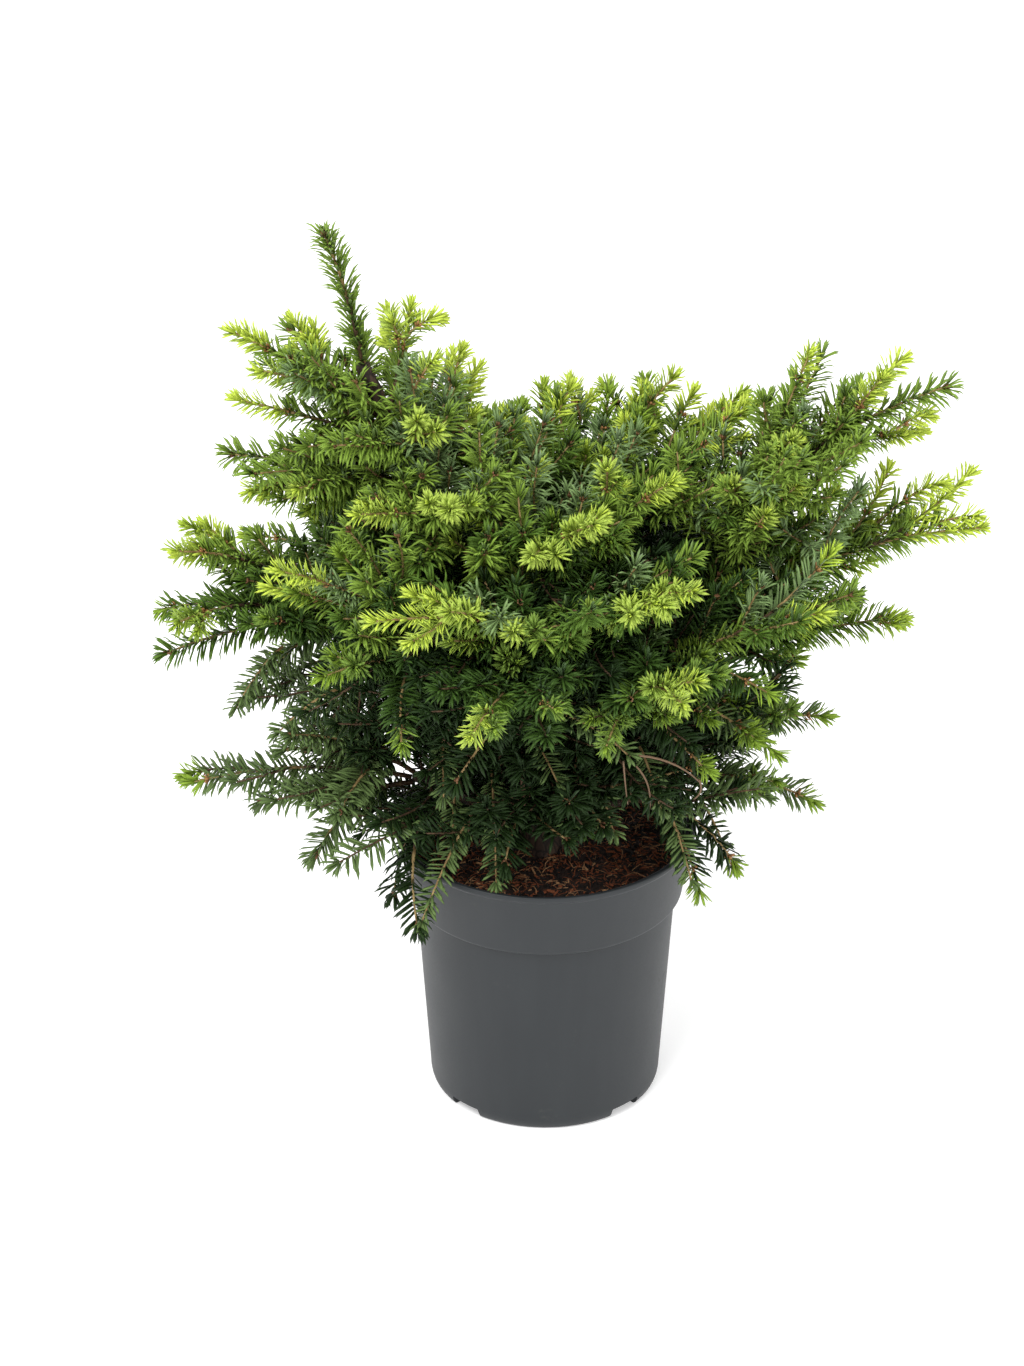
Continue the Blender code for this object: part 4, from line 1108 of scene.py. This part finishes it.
needle = {
    "lengths": (11.8 * mm, 11.2 * mm, 9.8 * mm),  # by order
    "width": 1.4 * mm,
    "thick": 0.5 * mm,
    "perMetre": (2900, 2050, 1250),
    "crown": (12, 7, 3),  # needles that close a shoot's end
    "lean": math.radians(62),
    "tipLean": math.radians(38),
    "tipReach": 7 * mm,
    "core": 0.5 * mm,
    "lobe": (math.radians(-68), math.radians(40)),  # from below a shoot's level to above it: parted on top
    "onTop": 0.05,
    "bow": 0.07,
    "belly": 0.72,  # where along a needle it is widest
    "bare": (0.22, 0.1, 0.1),  # share of a shoot's foot without needles, by order
    "darkBelow": 0.3,  # a shoot with less light has fewer and wider needles
    "darkShare": 0.62,
    "darkWidth": 1.12,
    "inPiece": 19000,
}
newNeedle = {
    "length": 9.2 * mm,
    "tipLength": 8.2 * mm,
    "width": 1.3 * mm,
    "perMetre": 2900,
    "crown": 14,  # needles that close a tuft's end
    "lean": math.radians(60),
    "tipLean": math.radians(48),
    "bow": -0.04,
}

# a slot name, then the colours of the upper side and the underside
# the first four tones are one needle colour, from painted shade to painted light
tones = {
    "shade": ("needles", (0.014, 0.032, 0.007), (0.026, 0.050, 0.018)),
    "half_shade": ("needles", (0.040, 0.084, 0.014), (0.062, 0.108, 0.042)),
    "half_lit": ("needles_mid", (0.084, 0.156, 0.021), (0.100, 0.164, 0.056)),
    "bright": ("needles_mid", (0.185, 0.290, 0.040), (0.175, 0.262, 0.080)),
    "blue": ("needles_mid", (0.175, 0.265, 0.098), (0.215, 0.300, 0.150)),
    "muted": ("needles_mid", (0.104, 0.162, 0.050), (0.140, 0.190, 0.088)),
    # the darker undersides of new growth are painted shade
    "young": ("new_growth", (0.235, 0.360, 0.040), (0.150, 0.240, 0.040)),
    "lime": ("new_growth", (0.365, 0.500, 0.052), (0.260, 0.370, 0.060)),
    "yellow": ("new_growth", (0.520, 0.650, 0.080), (0.370, 0.490, 0.080)),
}
# a tone holds below its light: needles and new growth are painted darker where a shoot gets little light and
# lighter where it gets much, as painted shade and painted light
toneSteps = ((0.30, "shade"), (0.56, "half_shade"), (0.78, "half_lit"), (math.inf, "bright"))
freshSteps = ((0.80, "young"), (0.95, "lime"), (math.inf, "yellow"))
toneRule = {
    "blueFrom": 0.5,
    "steep": 0.85,
    "steepBlue": 0.6,
    "anyBlue": 0.05,
    "mutedBelow": 0.215,
    "mutedOutside": 0.095,
    "freshLight": 14,  # light that each metre of new growth adds
    "freshVary": 0.12,
}
rodFaces = np.array([
    (0, 2, 5), (0, 5, 3), (2, 1, 4), (2, 4, 5), (1, 0, 3), (1, 3, 4),
    (0, 1, 2), (3, 5, 6), (5, 4, 6), (4, 3, 6)])
underFaces = np.array([4, 5, 9])


def needleRods(base, heading, facing, length, width, thick, bow):
    # one rod for each row: its foot, the way it points and the way its upper side faces
    across = np.cross(heading, facing)
    across /= np.linalg.norm(across, axis=1, keepdims=True)
    facing = np.cross(across, heading)
    belly = base + heading * (needle["belly"] * length) + facing * (bow * length)
    half = across * width / 2
    rows = (base - half * 0.75, base + half * 0.75, base + facing * thick * 0.7,
            belly - half, belly + half, belly + facing * thick, base + heading * length)
    return np.stack(rows, axis=1)


def shootFrame(path, t):
    place, along = curvePoints(path, t[:, None])
    side = np.cross(along, (0, 0, 1))
    size = np.linalg.norm(side, axis=1, keepdims=True)
    side = np.where(size > 0.05, side / np.maximum(size, 1e-6), (1, 0, 0))
    return place, along, side, np.cross(side, along)


def turnedTo(first, second, angle):
    # row by row, the direction at an angle from the first towards the second
    return first * np.cos(angle)[:, None] + second * np.sin(angle)[:, None]


def oldNeedles(shoot, rng):
    # two lobes beside the shoot, some needles on top, and a brush round its end
    path, order = shoot["path"], shoot["order"]
    length = pathLength(path)
    low = 0.0 if shoot["round"] else needle["bare"][order]
    high = 1 - shoot["fresh"] / length
    dark = shoot["light"] < needle["darkBelow"]
    crown = 0 if shoot["fresh"] else needle["crown"][order]
    most = (high - low) * length * needle["perMetre"][order]
    count = int(most * (needle["darkShare"] if dark else 1.0)) + crown
    if count < 4 + crown:
        return None
    t = low + (high - low) * (np.arange(count) + rng.uniform(0, 1, count)) / (count - crown)
    closing = np.arange(count) >= count - crown
    t = np.minimum(t, high)
    place, along, side, over = shootFrame(path, t)
    right = np.arange(count) % 2 == 0
    lobe = rng.uniform(*needle["lobe"], count)
    around = np.where(right, lobe, math.pi - lobe)
    onTop = rng.uniform(0, 1, count) < (1.0 if shoot["round"] else needle["onTop"])
    end = np.clip((t - high) * length / needle["tipReach"] + 1, 0, 1) ** 1.5
    around = np.where(onTop, rng.uniform(0.2, math.pi - 0.2, count), around)
    anyway = rng.uniform(0, math.tau, count)
    around = np.where((end > 0.35) | shoot["round"], anyway, around)
    radial = turnedTo(side, over, around)
    lean = np.where(onTop, 0.75, 1.0) * needle["lean"]
    lean = lean + (needle["tipLean"] - lean) * end * rng.uniform(0.3, 1.0, count) + rng.normal(0, 0.06, count)
    lean = np.where(closing, rng.uniform(0.0, 0.8, count), lean)
    heading = turnedTo(along, radial, lean)
    facing = np.array(skyward) + along * np.sin(lean)[:, None] * 0.4 + rng.normal(0, 0.25, (count, 3))
    size = needle["lengths"][order] * (1 - 0.20 * end) * rng.uniform(0.85, 1.12, count)
    size *= np.clip(0.7 + (t - low) * length / (20 * mm), 0, 1)
    size *= combForm["needles"] if shoot["comb"] else 1.0
    width = needle["width"] * (needle["darkWidth"] if dark else 1.0)
    base = place + radial * needle["core"]
    return needleRods(base, heading, facing, size[:, None], width, needle["thick"], needle["bow"])


def freshNeedles(shoot, rng):
    # soft new needles all round, closing over the tip
    path, fresh = shoot["path"], shoot["fresh"]
    length = pathLength(path)
    low = 1 - fresh / length
    spread = int(fresh * newNeedle["perMetre"])
    count = spread + newNeedle["crown"]
    t = np.minimum(1.0, low + (1 - low) * (np.arange(count) + rng.uniform(0, 1, count)) / spread)
    place, along, side, over = shootFrame(path, t)
    around = rng.uniform(0, math.tau, count)
    radial = turnedTo(side, over, around)
    end = (t - low) / (1 - low)
    crown = np.arange(count) >= spread
    lean = newNeedle["lean"] + (newNeedle["tipLean"] - newNeedle["lean"]) * end + rng.normal(0, 0.12, count)
    lean = np.where(crown, rng.uniform(0.0, 0.85, count), lean)
    heading = turnedTo(along, radial, lean)
    facing = turnedTo(radial, -along, lean) + np.array(skyward) * 0.5 + rng.normal(0, 0.2, (count, 3))
    size = newNeedle["length"] + (newNeedle["tipLength"] - newNeedle["length"]) * end ** 2
    size = (size * rng.uniform(0.85, 1.1, count))[:, None]
    base = place + radial * needle["core"] * (1 - 0.6 * end[:, None])
    return needleRods(base, heading, facing, size, newNeedle["width"], needle["thick"], newNeedle["bow"])


def toneAt(light, steps):
    return next(tone for most, tone in steps if light < most)


def shootTone(shoot, rng):
    light, tip, rule = shoot["light"], shoot["path"][2], toneRule
    steep = bezierDirection(shoot["path"], 0.7).z > rule["steep"] and rng.random() < rule["steepBlue"]
    if light > rule["blueFrom"] and not shoot["round"] and (steep or rng.random() < rule["anyBlue"]):
        return "blue"
    outer = math.hypot(tip.x, tip.y * daylight["frontShade"])
    if shoot["comb"] or tip.z < rule["mutedBelow"] and outer > rule["mutedOutside"]:
        return "muted"
    # the tone follows the shoot's light: painted shade and painted light
    return toneAt(light, toneSteps)


def freshTone(shoot, rng):
    # new growth in more light takes a lighter tone: painted light
    bright = shoot["light"] + shoot["fresh"] * toneRule["freshLight"] + rng.normal(0, toneRule["freshVary"])
    return toneAt(bright, freshSteps)


def plainNeedles():
    made = {}
    for tone, (_, *sides) in tones.items():
        made[tone] = []
        for label, colour in zip(("", "_under"), sides):
            material, shader, _ = newMaterial("needle_" + tone + label, colour, 0.5)
            shader.inputs["Specular IOR Level"].default_value = 0.14
            made[tone].append(material)
    return made


def rodMesh(name, rods):
    verts = rods.reshape(-1, 3)
    count = len(rods)
    faces = (rodFaces[None] + 7 * np.arange(count)[:, None, None]).reshape(-1, 3)
    mesh = bpy.data.meshes.new(name)
    mesh.vertices.add(len(verts))
    mesh.vertices.foreach_set("co", verts.astype(np.float32).ravel())
    mesh.loops.add(len(faces) * 3)
    mesh.loops.foreach_set("vertex_index", faces.astype(np.int32).ravel())
    mesh.polygons.add(len(faces))
    mesh.polygons.foreach_set("loop_start", np.arange(0, len(faces) * 3, 3, dtype=np.int32))
    mesh.update(calc_edges=True)
    under = np.zeros((count, len(rodFaces)), np.int32)
    under[:, underFaces] = 1
    return mesh, under.ravel()


def insideBox(rods):
    # a needle that would stand out of the box of the solids is shortened
    low, high = (np.array(corner) for corner in cadBox)
    foot = rods[:, :2].mean(axis=1)
    reach = rods[:, 6] - foot
    room = np.where(reach > 0, high - foot, foot - low) - gap
    share = np.clip((room / np.maximum(np.abs(reach), 1e-9)).min(axis=1), 0.1, 1.0)
    return foot[:, None] + (rods - foot[:, None]) * share[:, None, None]


def makeNeedles(shoots):
    rng = np.random.default_rng(7)
    dealt = {tone: [] for tone in tones}
    for shoot in shoots:
        old = oldNeedles(shoot, rng)
        if old is not None:
            dealt[shootTone(shoot, rng)].append(old)
        if shoot["fresh"]:
            dealt[freshTone(shoot, rng)].append(freshNeedles(shoot, rng))
    materials = plainNeedles()
    most = needle["inPiece"]
    masses = list(foliage)
    total = 0
    for tone, sets in dealt.items():
        rows = np.concatenate(sets)
        total += len(rows)
        for part in range(math.ceil(len(rows) / most)):
            name = "needles_%s_%d" % (tone, part + 1)
            mesh, under = rodMesh(name, insideBox(rows[part * most:(part + 1) * most]))
            addPiece(name, mesh, materials[tone], masses)
            mesh.polygons.foreach_set("material_index", under)
            masses = []
        print("needles,", tone + ":", len(rows))
    print("needles in all:", total)


# Twigs, buds and bud scales

twig = {
    "radii": (1.25 * mm, 0.75 * mm, 0.55 * mm),  # by order
    "tip": 0.45 * mm,
    "paleInLightFrom": 0.45,
    # the old bark also serves shaded side shoots and the young bark lit ones, as painted shade and painted
    # light
    "old": ((0.040, 0.022, 0.012), (0.120, 0.070, 0.035)),
    "young": ((0.170, 0.105, 0.038), (0.330, 0.235, 0.100)),
}


def makeTwigs(shoots):
    old, young = [], []
    for shoot in shoots:
        path, foot = shoot["path"], twig["radii"][shoot["order"]]
        if shoot["order"] == 0:
            middle = bezier(path, 0.5)
            knee = (foot + twig["tip"]) / 2
            old.append(((path[0], (path[0] + path[1]) / 2, middle), (foot, knee)))
            young.append(((middle, (path[1] + path[2]) / 2, path[2]), (knee, twig["tip"])))
        else:
            # a side shoot's twig is pale where it gets much light and dark where it gets little, painted
            # light and painted shade; a comb's twig is pale anyway
            pale = shoot["comb"] or shoot["light"] > twig["paleInLightFrom"]
            (young if pale else old).append((path, (foot, twig["tip"] * 0.9)))
    mesh = joinedTubes("twigs_old_and_shaded", old, 7, 5)
    addPiece("twigs_old_and_shaded", mesh, twigMaterial("twig_old_and_shaded", *twig["old"]))
    mesh = joinedTubes("twigs_young_and_lit", young, 6, 5)
    addPiece("twigs_young_and_lit", mesh, twigMaterial("twig_young_and_lit", *twig["young"]))
    print("twigs:", len(old), "old,", len(young), "young")


def twigMaterial(name, dark, pale):
    material, shader, link = newMaterial(name, pale, 0.75)
    shader.inputs["Specular IOR Level"].default_value = 0.3
    place = placed(link)
    patch = noiseOn(link, place, 240, 3).clamped(0.35, 0.68)
    grain = noiseOn(link, place, 1600, 2)
    feed(blend(link, patch, dark, pale), shader, "Base Color")
    bumped(link, shader, grain, 0.35, 0.15 * mm)
    return material


# bare dead twigs low in the crown: azimuth, reach and height of three points, and radius, in cm
deadTwigs = [
    ((293, 9.4, 22.2), (303, 10.4, 22.2), (311, 10.5, 20.4), 0.062),
    ((311, 10.5, 20.5), (313, 10.5, 19.7), (312, 10.0, 19.2), 0.055),
    ((292, 9.2, 21.8), (294, 8.7, 20.3), (296, 8.4, 19.0), 0.045),
    ((296, 9.2, 21.4), (301, 9.4, 20.3), (302, 8.8, 18.6), 0.05),
    ((257, 4.6, 17.2), (257, 4.6, 18.0), (256, 4.6, 18.6), 0.14),
]


def makeDeadTwigs():
    tubes = []
    for *points, radius in deadTwigs:
        tubes.append(([polar(*point) for point in points], (radius * cm, radius * cm * 0.6)))
    material = newMaterial("dead_twig", (0.150, 0.090, 0.050), 0.85)[0]
    addPiece("dead_twigs", joinedTubes("dead_twigs", tubes, 9, 6), material)
    print("dead twigs:", len(tubes))


makeDeadTwigs()


bud = {"share": 0.25, "from": 0.35, "scales": 7, "length": 3.0 * mm, "width": 1.5 * mm, "thick": 0.7 * mm,
       "bow": 0.08, "colours": {"buds": (0.160, 0.072, 0.026), "bud_scales": (0.300, 0.140, 0.045)}}


def makeBuds(shoots):
    rng = np.random.default_rng(11)
    scales, cups = [], []
    for shoot in shoots:
        path, length, order = shoot["path"], pathLength(shoot["path"]), shoot["order"]
        if shoot["fresh"]:
            place, lean, size, spread, into = 1 - shoot["fresh"] / length, 0.8, 0.9, 1.0, cups
        elif order == 0 or order == 1 and shoot["light"] > bud["from"] and rng.random() < bud["share"]:
            place, lean, size, spread, into = 1.0, 0.25, 1.0, 0.5, scales
        else:
            continue
        count = bud["scales"]
        t = np.full(count, place) - rng.uniform(0, 1.5 * mm, count) / length
        spot, along, side, over = shootFrame(path, np.maximum(t, 0))
        around = math.tau * np.arange(count) / count + rng.uniform(0, math.tau)
        radial = turnedTo(side, over, around)
        tilt = lean + rng.normal(0, 0.12, count)
        heading = turnedTo(along, radial, tilt)
        facing = turnedTo(radial, -along, tilt)
        base = spot + radial * spread * mm * 0.6
        tall = (bud["length"] * size * rng.uniform(0.7, 1.1, count))[:, None]
        into.append(needleRods(base, heading, facing, tall, bud["width"], bud["thick"], bud["bow"]))
    for sets, (name, colour) in zip((scales, cups), bud["colours"].items()):
        mesh = rodMesh(name, np.concatenate(sets))[0]
        addPiece(name, mesh, newMaterial(name, colour, 0.65)[0])
    print("buds:", len(scales), "cups:", len(cups))


shoots = growCrown()
print("shoots:", len(shoots), "metres:", round(sum(pathLength(each["path"]) for each in shoots), 1))
makeTwigs(shoots)
makeNeedles(shoots)
makeBuds(shoots)


# Studio

studio = {
    "floor": 12.0,
    "floorGlow": 0.3,
    "world": 1.0,
    "aim": 0.22,
    # where a lamp is, how wide and how strong
    "lamps": {"key": ((-0.9, -1.3, 2.3), 1.6, 60.0), "fill": ((1.8, -1.6, 1.2), 1.8, 18.0)},
}


def makeStudio():
    bm = bmesh.new()
    bmesh.ops.create_grid(bm, x_segments=1, y_segments=1, size=studio["floor"])
    floor = linked("floor", meshFrom(bm, "floor"))
    material, shader, _ = newMaterial("pale_floor", (0.9, 0.9, 0.9), 0.9)
    shader.inputs["Emission Color"].default_value = (1, 1, 1, 1)
    shader.inputs["Emission Strength"].default_value = studio["floorGlow"]
    floor.data.materials.append(material)

    world = bpy.data.worlds.new("studio")
    world.use_nodes = True
    background = world.node_tree.nodes["Background"].inputs
    background["Color"].default_value = (1, 1, 1, 1)
    background["Strength"].default_value = studio["world"]
    bpy.context.scene.world = world

    for name, (place, size, power) in studio["lamps"].items():
        data = bpy.data.lights.new(name, "AREA")
        data.size = size
        data.energy = power
        lamp = linked(name, data)
        lamp.location = place
        aim = Vector((0, 0, studio["aim"])) - Vector(place)
        lamp.rotation_euler = aim.to_track_quat("-Z", "Y").to_euler()
    bpy.context.scene.view_settings.view_transform = "Standard"
    print("studio lit,", len(studio["lamps"]), "lamps")


makeStudio()
